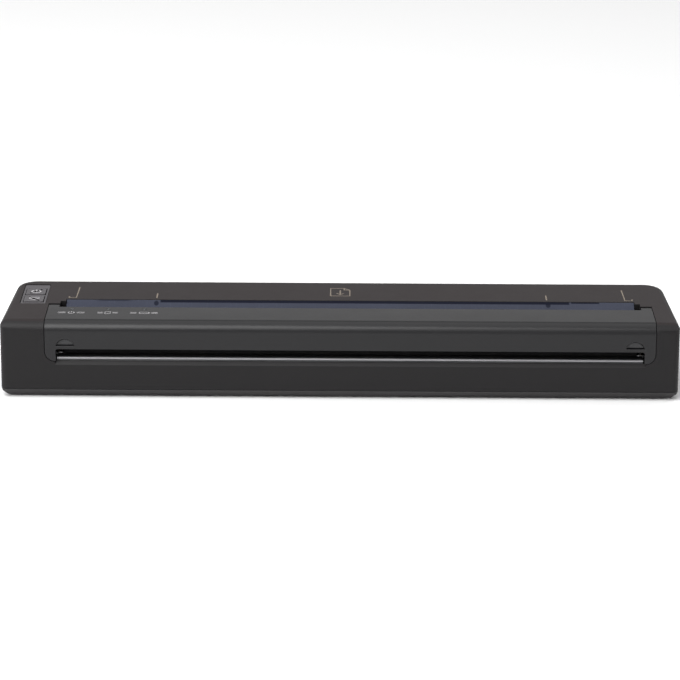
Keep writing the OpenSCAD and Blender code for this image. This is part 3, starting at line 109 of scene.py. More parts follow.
class PrinterColours(bpy.types.PropertyGroup):
    """Colours of the printer's finishes, as linear values."""

    case: tint("Case", "Moulded case and bottom cover", 0.0082, 0.0074, 0.0080)
    # Painted light: a lighter, warmer copy of the case colour for faces that point up, standing in for light
    # from above
    deck: tint("Deck", "Warmer tone of the case seen from above", 0.0150, 0.0105, 0.0110)
    cover: tint("Release cover", "Moulded release cover", 0.0075, 0.0072, 0.0082)
    panel: tint("Button panel", "Light grey panel round the buttons", 0.080, 0.075, 0.081)
    ramp: tint("Feed ramp", "Blue-grey ramp that the sheet slides down", 0.038, 0.042, 0.061)
    # A painted shadow: the colour of the dark line under the deck's edge
    ramp_shadow_line: tint("Ramp line", "Dark line along the ramp's rear edge", 0.002, 0.003, 0.011)
    marks: tint("Deck marks", "Printed guide marks on the rear deck", 0.20, 0.165, 0.13)
    labels: tint("Labels", "Printed pictograms by lights and buttons", 0.36, 0.35, 0.36)
    board: tint("Circuit board", "Solder mask of the boards", 0.012, 0.085, 0.035)
    wrap: tint("Battery wrap", "Shrink wrap round the battery pack", 0.020, 0.026, 0.055)
    floor: tint("Floor", "Studio floor", 0.90, 0.90, 0.90)


def sizes():
    return bpy.context.scene.printer_sizes


def colours():
    return bpy.context.scene.printer_colours


# ---------------------------------------------------------------- Shader maths


def arithmetic(operation, swapped=False):
    """A method that does one operation on a Field and another value."""
    def method(self, other):
        return self.maths(operation, *((other, self) if swapped else (self, other)))
    return method


class Field:
    """A varying value in a material, with Python's arithmetic on it."""

    def __init__(self, finish, socket):
        self.finish = finish
        self.socket = socket

    def maths(self, operation, *values):
        return self.finish.node("ShaderNodeMath", {"operation": operation}, dict(enumerate(values)))

    __add__, __radd__ = arithmetic("ADD"), arithmetic("ADD", swapped=True)
    __sub__, __rsub__ = arithmetic("SUBTRACT"), arithmetic("SUBTRACT", swapped=True)
    __mul__, __rmul__ = arithmetic("MULTIPLY"), arithmetic("MULTIPLY", swapped=True)
    __truediv__ = arithmetic("DIVIDE")
    __mod__ = arithmetic("FLOORED_MODULO")

    def __abs__(self):
        return self.maths("ABSOLUTE", self)

    def above(self, edge, soft):
        """0 below edge and 1 above it, with a smooth step that is 2 * soft wide."""
        return self.finish.node("ShaderNodeMapRange", {"interpolation_type": "SMOOTHSTEP"},
                                {"Value": self, "From Min": edge - soft, "From Max": edge + soft})

    def between(self, low, high, soft):
        """1 between low and high, and 0 outside them."""
        return self.above(low, soft) * (1 - self.above(high, soft))


class Graph:
    """A tree of shader nodes."""

    def __init__(self, tree):
        self.tree = tree

    def node(self, kind, settings=None, inputs=None, output=0):
        """Adds a node of any kind, and gives one of its outputs as a Field."""
        added = self.tree.nodes.new(kind)
        for setting, value in (settings or {}).items():
            setattr(added, setting, value)
        for socket, value in (inputs or {}).items():
            self.put(added.inputs[socket], value)
        return Field(self, added.outputs[output])

    def put(self, socket, value):
        if isinstance(value, Field):
            self.tree.links.new(value.socket, socket)
        else:
            socket.default_value = value


class Finish(Graph):
    """One procedural material: its shader, and the nodes that vary it over a surface."""

    def __init__(self, name, **constants):
        self.name = name
        self.material = bpy.data.materials.new(name)
        self.material.use_nodes = True
        super().__init__(self.material.node_tree)
        self.shader = self.tree.nodes["Principled BSDF"]
        for socket, value in constants.items():
            self.shader.inputs[socket.replace("_", " ")].default_value = value
        self.place = self.node("ShaderNodeTexCoord", output="Object")

    def axis(self, name):
        """The X, Y or Z of the surface's place on the printer, in metres."""
        return self.node("ShaderNodeSeparateXYZ", inputs={0: self.place}, output=name)

    def noise(self, grain, detail=2.0, roughness=0.5, stretch=None, seed=0.0):
        """Noise from 0 to 1 with spots about grain metres wide, or grain times stretch along each axis."""
        place = self.place
        if stretch:
            place = self.node("ShaderNodeVectorMath", {"operation": "MULTIPLY"},
                              {0: place, 1: tuple(1 / s for s in stretch)})
        return self.node("ShaderNodeTexNoise", {"noise_dimensions": "4D"},
                         {"Vector": place, "W": seed, "Scale": 1 / grain, "Detail": detail,
                          "Roughness": roughness})

    def blend(self, share, below, over):
        """Mixes two colours by a share from 0 to 1."""
        colours_in = [(*c, 1) if isinstance(c, (tuple, list)) else c for c in (below, over)]
        return self.node("ShaderNodeMix", {"data_type": "RGBA"},
                         {0: share, 6: colours_in[0], 7: colours_in[1]}, output=2)

    def colour(self, value):
        self.put(self.shader.inputs["Base Color"], value)

    def rough(self, value):
        self.put(self.shader.inputs["Roughness"], value)
        return self

    def bump(self, height, depth, strength=1.0):
        """Raises the surface by height, a Field from 0 to 1, times depth in metres."""
        raised = self.node("ShaderNodeBump", {},
                           {"Strength": strength, "Distance": depth, "Height": height})
        self.put(self.shader.inputs["Normal"], raised)
        return self


def shade(colour, factor):
    """A colour made lighter or darker."""
    return tuple(min(1.0, part * factor) for part in colour)


# ---------------------------------------------------------------- Finishes


def textured_plastic(name, colour, roughness, top=None, grain=0.28 * MM, depth=0.018 * MM, specular=0.3):
    """Spark-eroded plastic: a fine even grain, faint cloudy gloss, and gloss that varies in smudges."""
    finish = Finish(name, IOR=1.48, Specular_IOR_Level=specular)
    fine = finish.noise(grain, detail=3, roughness=0.6)
    clouds = finish.noise(34 * MM, detail=3, seed=2.0)
    smudges = finish.noise(9 * MM, detail=4, roughness=0.65, seed=5.0)
    tone = 0.55 * clouds + 0.45 * fine
    body = finish.blend(tone, shade(colour, 0.86), shade(colour, 1.15))
    # Faces that point up get the top colour, a painted light that stands in for light falling from above
    if top:
        heading = finish.node("ShaderNodeTexCoord", output="Normal")
        up = finish.node("ShaderNodeSeparateXYZ", inputs={0: heading}, output="Z")
        painted_top_light = finish.blend(tone, shade(top, 0.86), shade(top, 1.15))
        body = finish.blend(up.above(0.9, 0.08), body, painted_top_light)
    finish.colour(body)
    finish.rough(roughness + 0.07 * (clouds - 0.5) + 0.08 * (smudges - 0.5) + 0.05 * (fine - 0.5))
    return finish.bump(fine, depth)


def ramp_plastic():
    """The blue-grey ramp: smooth along the sheet's way, with a painted shadow line under the deck's edge and
    two painted shade spots at the narrow marks.
    """
    finish = Finish("ramp_navy", IOR=1.5, Specular_IOR_Level=0.08)
    across = finish.axis("X")
    back = finish.axis("Y")
    clouds = finish.noise(20 * MM, detail=3)
    rubbed = finish.noise(0.5 * MM, detail=3, stretch=(1, 14, 14))
    size = sizes()
    edge = top_edge("feed_ramp").y
    left, right = -size.narrow_mark_left, size.narrow_mark_right
    soft = 0.3 * MM
    # The painted shadow line is full between the narrow marks, and comes back in a short length on either
    # side
    full = across.between(left + 1.5 * MM, right + 8.5 * MM, soft)
    right_end = across.between(right + 9.2 * MM, right + 20 * MM, soft)
    left_end = across.between(left - 22 * MM, left - 10 * MM, 2 * MM)
    line = (back.above(edge - 1.2 * MM, 0.2 * MM) * full + back.above(edge - 0.7 * MM, 0.2 * MM) * right_end
            + 0.6 * back.above(edge - 0.6 * MM, 0.3 * MM) * left_end)
    # Painted shade: two dark spots just in front of the line, at the narrow marks
    spots = 0.0
    for x in (left, right + 0.4 * MM):
        from_x = (across - x) / (0.9 * MM)
        from_y = (back - (edge - 1.6 * MM)) / (1.2 * MM)
        spots = spots + (1 - (from_x * from_x + from_y * from_y).above(1.0, 0.4))
    # dark is the share of painted shadow and shade from the line and the spots
    dark = (line + 0.8 * spots).maths("MINIMUM", line + 0.8 * spots, 1.0)
    base = finish.blend(clouds, shade(colours().ramp, 0.8), shade(colours().ramp, 1.2))
    worn = finish.blend(rubbed.above(0.62, 0.08) * 0.35, base, shade(colours().ramp, 1.5))
    finish.colour(finish.blend(dark, worn, tuple(colours().ramp_shadow_line)))
    finish.rough(0.36 + 0.14 * (rubbed - 0.5) + 0.1 * (clouds - 0.5))
    return finish.bump(rubbed, 0.006 * MM)


def brushed_steel(name, tone, roughness, along="X"):
    """Metal with fine lines along one axis, faint stains and a few deeper scratches."""
    finish = Finish(name, Metallic=1.0)
    stretch = {"X": (60, 1, 1), "Y": (1, 60, 1), "Z": (1, 1, 60)}[along]
    lines = finish.noise(0.09 * MM, detail=4, roughness=0.7, stretch=stretch)
    stains = finish.noise(11 * MM, detail=4, seed=3.0)
    scratches = finish.noise(0.3 * MM, detail=2, stretch=tuple(s * 2 for s in stretch), seed=8.0)
    finish.colour(finish.blend(0.6 * lines + 0.4 * stains, shade(tone, 0.82), shade(tone, 1.08)))
    finish.rough(roughness + 0.16 * (lines - 0.5) + 0.12 * (stains - 0.5))
    return finish.bump(0.7 * lines + 0.3 * scratches.above(0.7, 0.03), 0.006 * MM)


def soft_rubber(name, tone, roughness, grain=0.16 * MM):
    """Rubber with a ground skin, dust in its pores and lighter rubbed spots."""
    finish = Finish(name, IOR=1.5, Specular_IOR_Level=0.35)
    pores = finish.noise(grain, detail=4, roughness=0.7)
    dust = finish.noise(4 * MM, detail=5, roughness=0.7, seed=4.0)
    finish.colour(finish.blend(dust.above(0.58, 0.16) * 0.5, shade(tone, 0.85), shade(tone, 2.1)))
    finish.rough(roughness + 0.1 * (pores - 0.5) - 0.1 * dust.above(0.62, 0.1))
    return finish.bump(pores, 0.012 * MM)


def sheen_polymer(name, tone, roughness=0.34):
    """Smooth engineering plastic, as gears and connectors are moulded in, with faint flow marks."""
    finish = Finish(name, IOR=1.5)
    flow = finish.noise(2.2 * MM, detail=4, roughness=0.6)
    fine = finish.noise(0.25 * MM, detail=2, seed=6.0)
    grease = finish.noise(3.1 * MM, detail=3, seed=9.0)
    clean = finish.blend(flow, shade(tone, 0.9), shade(tone, 1.05))
    finish.colour(finish.blend(grease.above(0.64, 0.08) * 0.3, clean, shade(tone, 0.55)))
    finish.rough(roughness + 0.12 * (flow - 0.5) - 0.12 * grease.above(0.64, 0.08))
    return finish.bump(fine, 0.004 * MM)


def circuit_board():
    """Green solder mask over copper tracks, with tinned pads and drilled vias."""
    finish = Finish("board_green", IOR=1.52, Coat_Weight=0.35, Coat_Roughness=0.12)
    across = finish.axis("X")
    back = finish.axis("Y")
    lanes = finish.noise(3.2 * MM, detail=0, stretch=(2.6, 1, 1), seed=1.0)
    tracks = (abs(((back + 0.6 * MM * lanes.above(0.5, 0.02)) / (0.9 * MM)) % 1.0 - 0.5)).above(0.3, 0.05)
    tracks = tracks * lanes.above(0.42, 0.02)
    column = abs((across / (2.54 * MM)) % 1.0 - 0.5)
    row = abs((back / (2.54 * MM)) % 1.0 - 0.5)
    chosen = finish.noise(5 * MM, detail=0, seed=7.0).above(0.56, 0.01)
    spot = 1 - (column * column + row * row).above(0.022, 0.006)
    pads = spot * chosen
    mask = finish.blend(tracks * 0.8, tuple(colours().board), shade(colours().board, 1.9))
    finish.colour(finish.blend(pads, mask, (0.62, 0.58, 0.46)))
    finish.rough(0.42 - 0.14 * pads + 0.1 * (lanes - 0.5))
    return finish.bump(0.7 * tracks + 0.3 * pads, 0.02 * MM)


def chip_epoxy():
    """Matt black chip packages with fine filler grain."""
    finish = Finish("chip_black", IOR=1.55)
    filler = finish.noise(0.12 * MM, detail=3)
    clouds = finish.noise(2.5 * MM, detail=3, seed=3.0)
    finish.colour(finish.blend(0.6 * filler + 0.4 * clouds, (0.009, 0.009, 0.010), (0.022, 0.022, 0.024)))
    finish.rough(0.52 + 0.18 * (clouds - 0.5))
    return finish.bump(filler, 0.006 * MM)


def head_ceramic():
    """Glazed alumina strip: pale ceramic, thin gold tracks running off, and the dark heater line."""
    finish = Finish("head_ceramic", IOR=1.62, Coat_Weight=0.6, Coat_Roughness=0.08)
    low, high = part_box("thermal_head")
    across = finish.axis("X")
    back = finish.axis("Y")
    heater_y = high.y - 4.2 * MM
    heater = back.between(heater_y - 0.35 * MM, heater_y + 0.35 * MM, 0.08 * MM)
    coated = back.between(low.y, heater_y - 2.2 * MM, 0.1 * MM)
    tracks = abs((across / (0.5 * MM)) % 1.0 - 0.5).above(0.25, 0.04)
    clouds = finish.noise(6 * MM, detail=3)
    pale = finish.blend(clouds, (0.46, 0.42, 0.34), (0.56, 0.52, 0.43))
    gold = finish.blend(tracks * 0.75, pale, (0.42, 0.27, 0.09))
    dark = finish.blend(coated, gold, (0.020, 0.018, 0.018))
    finish.colour(finish.blend(heater, dark, (0.10, 0.05, 0.035)))
    finish.rough(0.22 + 0.12 * (clouds - 0.5) + 0.25 * coated)
    return finish.bump(tracks * (1 - coated), 0.006 * MM)


def shrink_wrap():
    """Shiny plastic film over two rows of cells, with wrinkles drawn towards its seam."""
    finish = Finish("battery_wrap", IOR=1.5, Coat_Weight=0.5, Coat_Roughness=0.15)
    wrinkles = finish.noise(1.6 * MM, detail=4, roughness=0.6, stretch=(6, 1, 1))
    clouds = finish.noise(15 * MM, detail=3, seed=2.0)
    across = finish.axis("X")
    cells = abs((across / (65 * MM)) % 1.0 - 0.5)
    joint = cells.above(0.478, 0.012)
    finish.colour(finish.blend(clouds, shade(colours().wrap, 0.8), shade(colours().wrap, 1.25)))
    finish.rough(0.3 + 0.2 * (wrinkles - 0.5) + 0.1 * joint)
    return finish.bump(0.5 * wrinkles + 0.5 * (1 - joint), 0.12 * MM, 0.6)


def printed_ink(name, tone):
    """Pad-printed ink: slightly uneven cover, worn thin in spots."""
    finish = Finish(name, IOR=1.48)
    cover = finish.noise(0.5 * MM, detail=4, roughness=0.7)
    worn = finish.noise(1.7 * MM, detail=2, seed=4.0).above(0.66, 0.05)
    inked = finish.blend(cover, shade(tone, 0.82), shade(tone, 1.1))
    finish.colour(finish.blend(0.45 * worn, inked, shade(tone, 0.35)))
    finish.rough(0.5 + 0.15 * (cover - 0.5))
    return finish.bump(cover, 0.004 * MM)


def smoked_lens():
    """Smoky light pipes that are dark when they're unlit, with a polished crown."""
    finish = Finish("lens_clear", IOR=1.49, Transmission_Weight=0.25, Coat_Weight=0.6, Coat_Roughness=0.05)
    depth = finish.noise(0.6 * MM, detail=3)
    finish.colour(finish.blend(depth, (0.010, 0.012, 0.016), (0.035, 0.040, 0.050)))
    return finish.rough(0.12 + 0.1 * depth)


def floor_paper():
    """Pale studio paper with a soft tooth."""
    finish = Finish("studio_floor", IOR=1.4, Specular_IOR_Level=0.15)
    tooth = finish.noise(2.0 * MM, detail=4)
    clouds = finish.noise(260 * MM, detail=2, seed=3.0)
    tone = tuple(colours().floor)
    finish.colour(finish.blend(0.5 * tooth + 0.5 * clouds, shade(tone, 0.985), shade(tone, 1.01)))
    return finish.rough(0.85 + 0.05 * (tooth - 0.5))


def make_finishes():
    """Every finish of the printer by its slot's name, with some that only one kind of piece wears."""
    c = colours()
    made = [
        textured_plastic("case_black", tuple(c.case), 0.50, top=tuple(c.deck), specular=0.27),
        textured_plastic("cover_black", tuple(c.cover), 0.33, grain=0.22 * MM, depth=0.012 * MM,
                         specular=0.38),
        textured_plastic("panel_grey", tuple(c.panel), 0.46, grain=0.2 * MM, depth=0.01 * MM),
        # The bottom cover gets the case colour made lighter: a painted reflection of the pale floor on its
        # downward chamfer
        textured_plastic("pan_black_painted_reflection", shade(c.case, 1.6), 0.40, specular=0.42),
        textured_plastic("guide_black", (0.022, 0.022, 0.024), 0.40, grain=0.4 * MM, specular=0.5),
        ramp_plastic(),
        brushed_steel("bright_steel", (0.62, 0.62, 0.63), 0.26),
        brushed_steel("plated_steel", (0.50, 0.50, 0.49), 0.34, along="Z"),
        brushed_steel("sink_aluminium", (0.60, 0.61, 0.63), 0.36),
        brushed_steel("bronze", (0.46, 0.27, 0.11), 0.38, along="Y"),
        brushed_steel("brass_gear", (0.62, 0.42, 0.16), 0.28, along="Y"),
        sheen_polymer("white_gear", (0.66, 0.64, 0.57)),
        sheen_polymer("connector_ivory", (0.58, 0.53, 0.41), 0.42),
        soft_rubber("platen_rubber", (0.016, 0.016, 0.017), 0.66),
        soft_rubber("foot_rubber", (0.014, 0.014, 0.014), 0.82, grain=0.3 * MM),
        smoked_lens(),
        head_ceramic(),
        circuit_board(),
        chip_epoxy(),
        shrink_wrap(),
        brushed_steel("tear_steel", (0.31, 0.31, 0.32), 0.5),
        printed_ink("mark_ink", tuple(c.marks)),
        printed_ink("label_ink", tuple(c.labels)),
    ]
    return {finish.name: finish.material for finish in made}


# ---------------------------------------------------------------- Modelling helpers


def deselect():
    """Leaves edit mode, and leaves nothing selected."""
    if bpy.context.object and bpy.context.object.mode != "OBJECT":
        bpy.ops.object.mode_set(mode="OBJECT")
    bpy.ops.object.select_all(action="DESELECT")


def activate(piece):
    deselect()
    piece.select_set(True)
    bpy.context.view_layer.objects.active = piece


def edit(piece, mode="FACE"):
    """Opens a piece in edit mode with nothing selected."""
    activate(piece)
    bpy.ops.object.mode_set(mode="EDIT")
    bpy.ops.mesh.select_mode(type=mode)
    bpy.ops.mesh.select_all(action="DESELECT")


def choose_faces(piece, test):
    """Selects just the faces whose centre and normal pass the test."""
    bpy.ops.mesh.select_mode(type="FACE")
    bpy.ops.mesh.select_all(action="DESELECT")
    mesh = bmesh.from_edit_mesh(piece.data)
    for face in mesh.faces:
        face.select_set(bool(test(face.calc_center_median(), face.normal)))
    bmesh.update_edit_mesh(piece.data)


def apply_modifier(piece, kind, **settings):
    """Adds a modifier, sets it and applies it."""
    activate(piece)
    modifier = piece.modifiers.new(kind.lower(), kind)
    for setting, value in settings.items():
        setattr(modifier, setting, value)
    bpy.ops.object.modifier_apply(modifier=modifier.name)


def settle(piece):
    """Puts the piece's place, turn and scale into its mesh."""
    activate(piece)
    bpy.ops.object.transform_apply(location=True, rotation=True, scale=True)


def face_outwards(piece):
    """Turns every face of a newly modelled piece outwards."""
    edit(piece)
    bpy.ops.mesh.select_all(action="SELECT")
    bpy.ops.mesh.normals_make_consistent(inside=False)
    bpy.ops.object.mode_set(mode="OBJECT")


def finished(piece, name, slot, body, finishes, finish=None, replaces=(), smooth=32):
    """Names a piece, shades it, gives it its finish, and lets it ride on its body."""
    settle(piece)
    bpy.ops.object.shade_smooth_by_angle(angle=math.radians(smooth))
    apply_modifier(piece, "WEIGHTED_NORMAL", keep_sharp=True, weight=80)
    piece.name = piece.data.name = name
    piece.data.materials.clear()
    piece.data.materials.append(finishes[finish or slot])
    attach(piece, body)
    if replaces:
        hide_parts(*replaces)


def body_of(node):
    """The body that a CAD node rides on."""
    return next(body for body, nodes in frame["record"]["behaviour"]["bodies"].items() if node in nodes)


def slot_of(node):
    """The material slot that the record gives a CAD node."""
    return next(part["material_slot"] for part in frame["record"]["subparts"] if part["node"] == node)


def top_edge(node):
    """The rearmost point of a CAD node at its greatest height."""
    points = [v.co for v in frame["nodes"][node].data.vertices]
    top = max(p.z for p in points)
    return max((p for p in points if p.z > top - 0.01 * MM), key=lambda p: p.y).copy()


def solids(node):
    """The low and high corners of each separate solid in a CAD node, from left to right."""
    mesh = bmesh.new()
    mesh.from_mesh(frame["nodes"][node].data)
    bmesh.ops.remove_doubles(mesh, verts=mesh.verts, dist=0.002 * MM)
    left = set(mesh.verts)
    boxes = []
    while left:
        group = [left.pop()]
        for vertex in group:
            near = {edge.other_vert(vertex) for edge in vertex.link_edges} & left
            left -= near
            group.extend(near)
        axes = list(zip(*(vertex.co for vertex in group)))
        boxes.append((Vector([min(values) for values in axes]), Vector([max(values) for values in axes])))
    mesh.free()
    return sorted(boxes, key=lambda box: box[0].x)


def node_copy(node):
    """A copy of a CAD node's mesh as a modelled shell: corners joined, flat faces made whole."""
    piece = bpy.data.objects.new(node + "_shell", frame["nodes"][node].data.copy())
    bpy.context.scene.collection.objects.link(piece)
    activate(piece)
    bpy.ops.mesh.customdata_custom_splitnormals_clear()
    edit(piece)
    bpy.ops.mesh.select_all(action="SELECT")
    bpy.ops.mesh.remove_doubles(threshold=0.002 * MM)
    bpy.ops.mesh.dissolve_limited(angle_limit=math.radians(0.6))
    return piece


def soften_rims(piece, seed, width, shortest=0.05 * MM):
    """Rounds the sharp rims of the smooth skin that grows from the faces that pass a seed test.

    Shorter edges than shortest are left out, because rounding them makes spikes."""
    spread = 35
    edit(piece)
    choose_faces(piece, seed)
    bpy.ops.mesh.faces_select_linked_flat(sharpness=math.radians(spread))
    bpy.ops.mesh.region_to_loop()
    mesh = bmesh.from_edit_mesh(piece.data)
    for edge in mesh.edges:
        blunt = edge.calc_face_angle(0) < math.radians(spread)
        if edge.select and (blunt or edge.calc_length() < shortest):
            edge.select_set(False)
    bmesh.update_edit_mesh(piece.data)
    bpy.ops.mesh.bevel(offset=width, offset_type="OFFSET", segments=2, affect="EDGES",
                       clamp_overlap=False)
    bpy.ops.object.mode_set(mode="OBJECT")


def soften_all(piece, width, segments=1, sharp=40):
    """Rounds every sharp edge of a small piece a little."""
    apply_modifier(piece, "BEVEL", width=width, segments=segments, limit_method="ANGLE",
                   angle_limit=math.radians(sharp), use_clamp_overlap=True, harden_normals=False)


def rod(name, low_x, high_x, y, z, radius):
    """A round bar along X, to be shaped."""
    deselect()
    bpy.ops.mesh.primitive_cylinder_add(vertices=32, radius=radius, depth=high_x - low_x,
                                        location=((low_x + high_x) / 2, y, z), rotation=(0, math.pi / 2, 0))
    piece = bpy.context.object
    piece.name = name
    settle(piece)
    return piece


def slab(name, low, high):
    """A box between two corners, to be shaped."""
    low, high = Vector(low), Vector(high)
    deselect()
    bpy.ops.mesh.primitive_cube_add(size=1, location=(low + high) / 2)
    piece = bpy.context.object
    piece.scale = high - low
    piece.name = name
    settle(piece)
    return piece


def extrude(step):
    """Extrudes the selected faces by a step."""
    bpy.ops.mesh.extrude_region_move(TRANSFORM_OT_translate={"value": step})


def terraces(steps):
    """Insets the selected faces and lifts them, for each pair of a width and a rise in millimetres."""
    for width, rise in steps:
        bpy.ops.mesh.inset(thickness=width * MM)
        bpy.ops.transform.translate(value=(0, 0, rise * MM))


def row(piece, count, step):
    """Repeats a piece in a row."""
    apply_modifier(piece, "ARRAY", count=count, use_relative_offset=False, use_constant_offset=True,
                   constant_offset_displace=step)


def joined(pieces):
    """Joins pieces into the first one."""
    deselect()
    for piece in pieces:
        piece.select_set(True)
    bpy.context.view_layer.objects.active = pieces[0]
    if len(pieces) > 1:
        bpy.ops.object.join()
    return bpy.context.object


def copies(piece, moves):
    """The piece and a copy of it, with its own mesh, for each move."""
    made = [piece]
    for move in moves:
        activate(piece)
        bpy.ops.object.duplicate(linked=False)
        twin = bpy.context.object
        twin.data.transform(Matrix.Translation(move))
        made.append(twin)
    return made


def ink_lines(name, strokes, width, height, top):
    """Raised ink along strokes in X and Y: round lines, flattened, half sunk in the surface at top."""
    deselect()
    path = bpy.data.curves.new(name, "CURVE")
    path.dimensions = "3D"
    path.bevel_depth = width / 2
    path.bevel_resolution = 2
    path.use_fill_caps = True
    for stroke in strokes:
        spline = path.splines.new("POLY")
        spline.points.add(len(stroke) - 1)
        for point, (x, y) in zip(spline.points, stroke):
            point.co = (x, y, 0, 1)
    piece = bpy.data.objects.new(name, path)
    bpy.context.scene.collection.objects.link(piece)
    activate(piece)
    bpy.ops.object.convert(target="MESH")
    piece = bpy.context.object
    edit(piece)
    bpy.ops.mesh.select_all(action="SELECT")
    bpy.ops.mesh.remove_doubles(threshold=0.0005 * MM)
    bpy.ops.transform.resize(value=(1, 1, 2 * height / width), center_override=(0, 0, 0))
    bpy.ops.transform.translate(value=(0, 0, top))
    face_outwards(piece)
    return piece


def outline(x, y, half_width, half_depth):
    """Points round a rectangle about (x, y)."""
    corners = ((-1, -1), (-1, 1), (1, 1), (1, -1), (-1, -1))
    return [(x + side * half_width, y + way * half_depth) for side, way in corners]


def arc(x, y, radius, start, end, steps):
    """Points of an arc about (x, y), between two angles in degrees."""
    angles = [math.radians(start + (end - start) * step / steps) for step in range(steps + 1)]
    return [(x + radius * math.cos(a), y + radius * math.sin(a)) for a in angles]


def coil(name, centre, axis, radius, wire, turns, height):
    """A compression spring along an axis, with a closed turn and a flat wire end at each end."""
    steps = 20
    deselect()
    bpy.ops.mesh.primitive_circle_add(vertices=10, radius=wire / 2, fill_type="NOTHING",
                                      location=(radius, 0, 0), rotation=(math.pi / 2, 0, 0))
    piece = bpy.context.object
    settle(piece)
    piece.name = name
    closed = wire * 1.08
    open_pitch = (height - wire - 2 * closed) / (turns - 2)
    rings = [0.0]
    for turn in range(turns):
        pitch = closed if turn in (0, turns - 1) else open_pitch
        rings += [rings[-1] + pitch * (k + 1) / steps - pitch * k / steps for k in range(steps)]
    edit(piece, "EDGE")
    bpy.ops.mesh.select_all(action="SELECT")
    for low, high in zip(rings, rings[1:]):
        bpy.ops.mesh.extrude_edges_move(TRANSFORM_OT_translate={"value": (0, 0, high - low)})
        bpy.ops.transform.rotate(value=2 * math.pi / steps, orient_axis="Z", center_override=(0, 0, 0))
    bpy.ops.mesh.select_all(action="DESELECT")
    bpy.ops.mesh.select_non_manifold()
    bpy.ops.mesh.edge_face_add()
    face_outwards(piece)
    turned = Vector((0, 0, 1)).rotation_difference(Vector(axis)).to_matrix().to_4x4()
    lift = Matrix.Translation((0, 0, -(height - wire) / 2))
    piece.data.transform(Matrix.Translation(centre) @ turned @ lift)
    return piece


# ---------------------------------------------------------------- Operators


class FrameOperator(bpy.types.Operator):
    """Shared parts of the operators that dress the printer's frame."""

    bl_options = {"REGISTER", "UNDO"}
    finishes = {}

    def dress(self, *nodes, name=None, fine=None):
        """Copies CAD nodes with every sharp edge softened by fine millimetres, each in its own finish."""
        for node in nodes:
            piece = node_copy(node)
            soften_all(piece, fine * MM if fine else sizes().fine_edge)
            self.finish_piece(piece, name or node + "_made", node)

    def ink(self, name, strokes, width, top, body, finish="label_ink"):
        """Prints strokes on the surface at top."""
        piece = ink_lines(name, strokes, width, sizes().ink_height, top)
        finished(piece, name, "panel_grey", body, self.finishes, finish)

    def finish_piece(self, piece, name, node, smooth=32, finish=None):
        """Finishes a piece that stands in for a CAD node."""
        finished(piece, name, slot_of(node), body_of(node), self.finishes, finish, (node,), smooth)


class PRINTER_OT_finishes(FrameOperator):
    """Makes every finish, and gives each CAD node its own"""

    bl_idname = "printer.finishes"
    bl_label = "Finishes"

    def execute(self, context):
        FrameOperator.finishes = make_finishes()
        for node, piece in frame["nodes"].items():
            piece.data.materials.clear()
            piece.data.materials.append(self.finishes[slot_of(node)])
        return {"FINISHED"}


class PRINTER_OT_case(FrameOperator):
    """Models the main case and the bottom cover with softened rims"""

    bl_idname = "printer.case"
    bl_label = "Case"

    def execute(self, context):
        soft = sizes().edge_soft
        shell = node_copy("main_case")
        soften_rims(shell, lambda p, n: p.z > DECK_Z - 0.01 * MM and n.z > 0.99, soft)
        self.finish_piece(shell, "case_shell", "main_case")
        pan = node_copy("bottom_cover")
        low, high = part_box("bottom_cover")
        soften_rims(pan, lambda p, n: n.z < -0.99 and p.z < low.z + 0.01 * MM, soft)
        soften_rims(pan, lambda p, n: -0.85 < n.z < -0.3 and p.z > low.z, 1.5 * soft, shortest=0.6 * MM)
        self.finish_piece(pan, "bottom_pan", "bottom_cover", finish="pan_black_painted_reflection")
        return {"FINISHED"}


class PRINTER_OT_release_cover(FrameOperator):
    """Models the release cover with softened top rims, and the guide inside it"""

    bl_idname = "printer.release_cover"
    bl_label = "Release cover"

    def execute(self, context):
        shell = node_copy("release_cover")
        soften_rims(shell, lambda p, n: p.z > DECK_Z - 0.01 * MM and n.z > 0.99, sizes().edge_soft)
        self.finish_piece(shell, "cover_shell", "release_cover")
        self.dress("cover_guide", name="cover_inner_guide")
        return {"FINISHED"}


class PRINTER_OT_paper_path(FrameOperator):
    """Models the feed ramp, the exit guide and the toothed tear bar"""

    bl_idname = "printer.paper_path"
    bl_label = "Paper path"

    def execute(self, context):
        self.dress("feed_ramp", "exit_guide", fine=0.08)
        self.dress("paper_sensor", "paper_flag", "flag_pin")
        self.tear_bar()
        return {"FINISHED"}

    def tear_bar(self):
        bar = node_copy("tear_bar")
        soften_all(bar, 0.06 * MM)
        low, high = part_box("tear_bar")
        pitch = sizes().tooth_pitch
        count = int((high.x - low.x) / pitch) - 1
        first = (low.x + high.x - (count - 1) * pitch) / 2
        tooth_y = low.y + 0.42 * MM
        tooth_z = high.z - 0.25 * MM
        deselect()
        half_width = pitch * 0.62
        bpy.ops.mesh.primitive_cone_add(vertices=4, radius1=half_width, depth=0.7 * MM,
                                        location=(first, tooth_y, tooth_z), rotation=(0, 0, math.pi / 4))
        tooth = bpy.context.object
        settle(tooth)
        edit(tooth)
        choose_faces(tooth, lambda p, n: n.z < -0.9)
        bpy.ops.mesh.inset(thickness=0.06 * MM)
        bpy.ops.transform.resize(value=(1, 0.5, 1), center_override=(first, tooth_y, 0))
        row(tooth, count, (pitch, 0, 0))
        face_outwards(tooth)
        self.finish_piece(joined([bar, tooth]), "tear_bar_toothed", "tear_bar", finish="tear_steel")


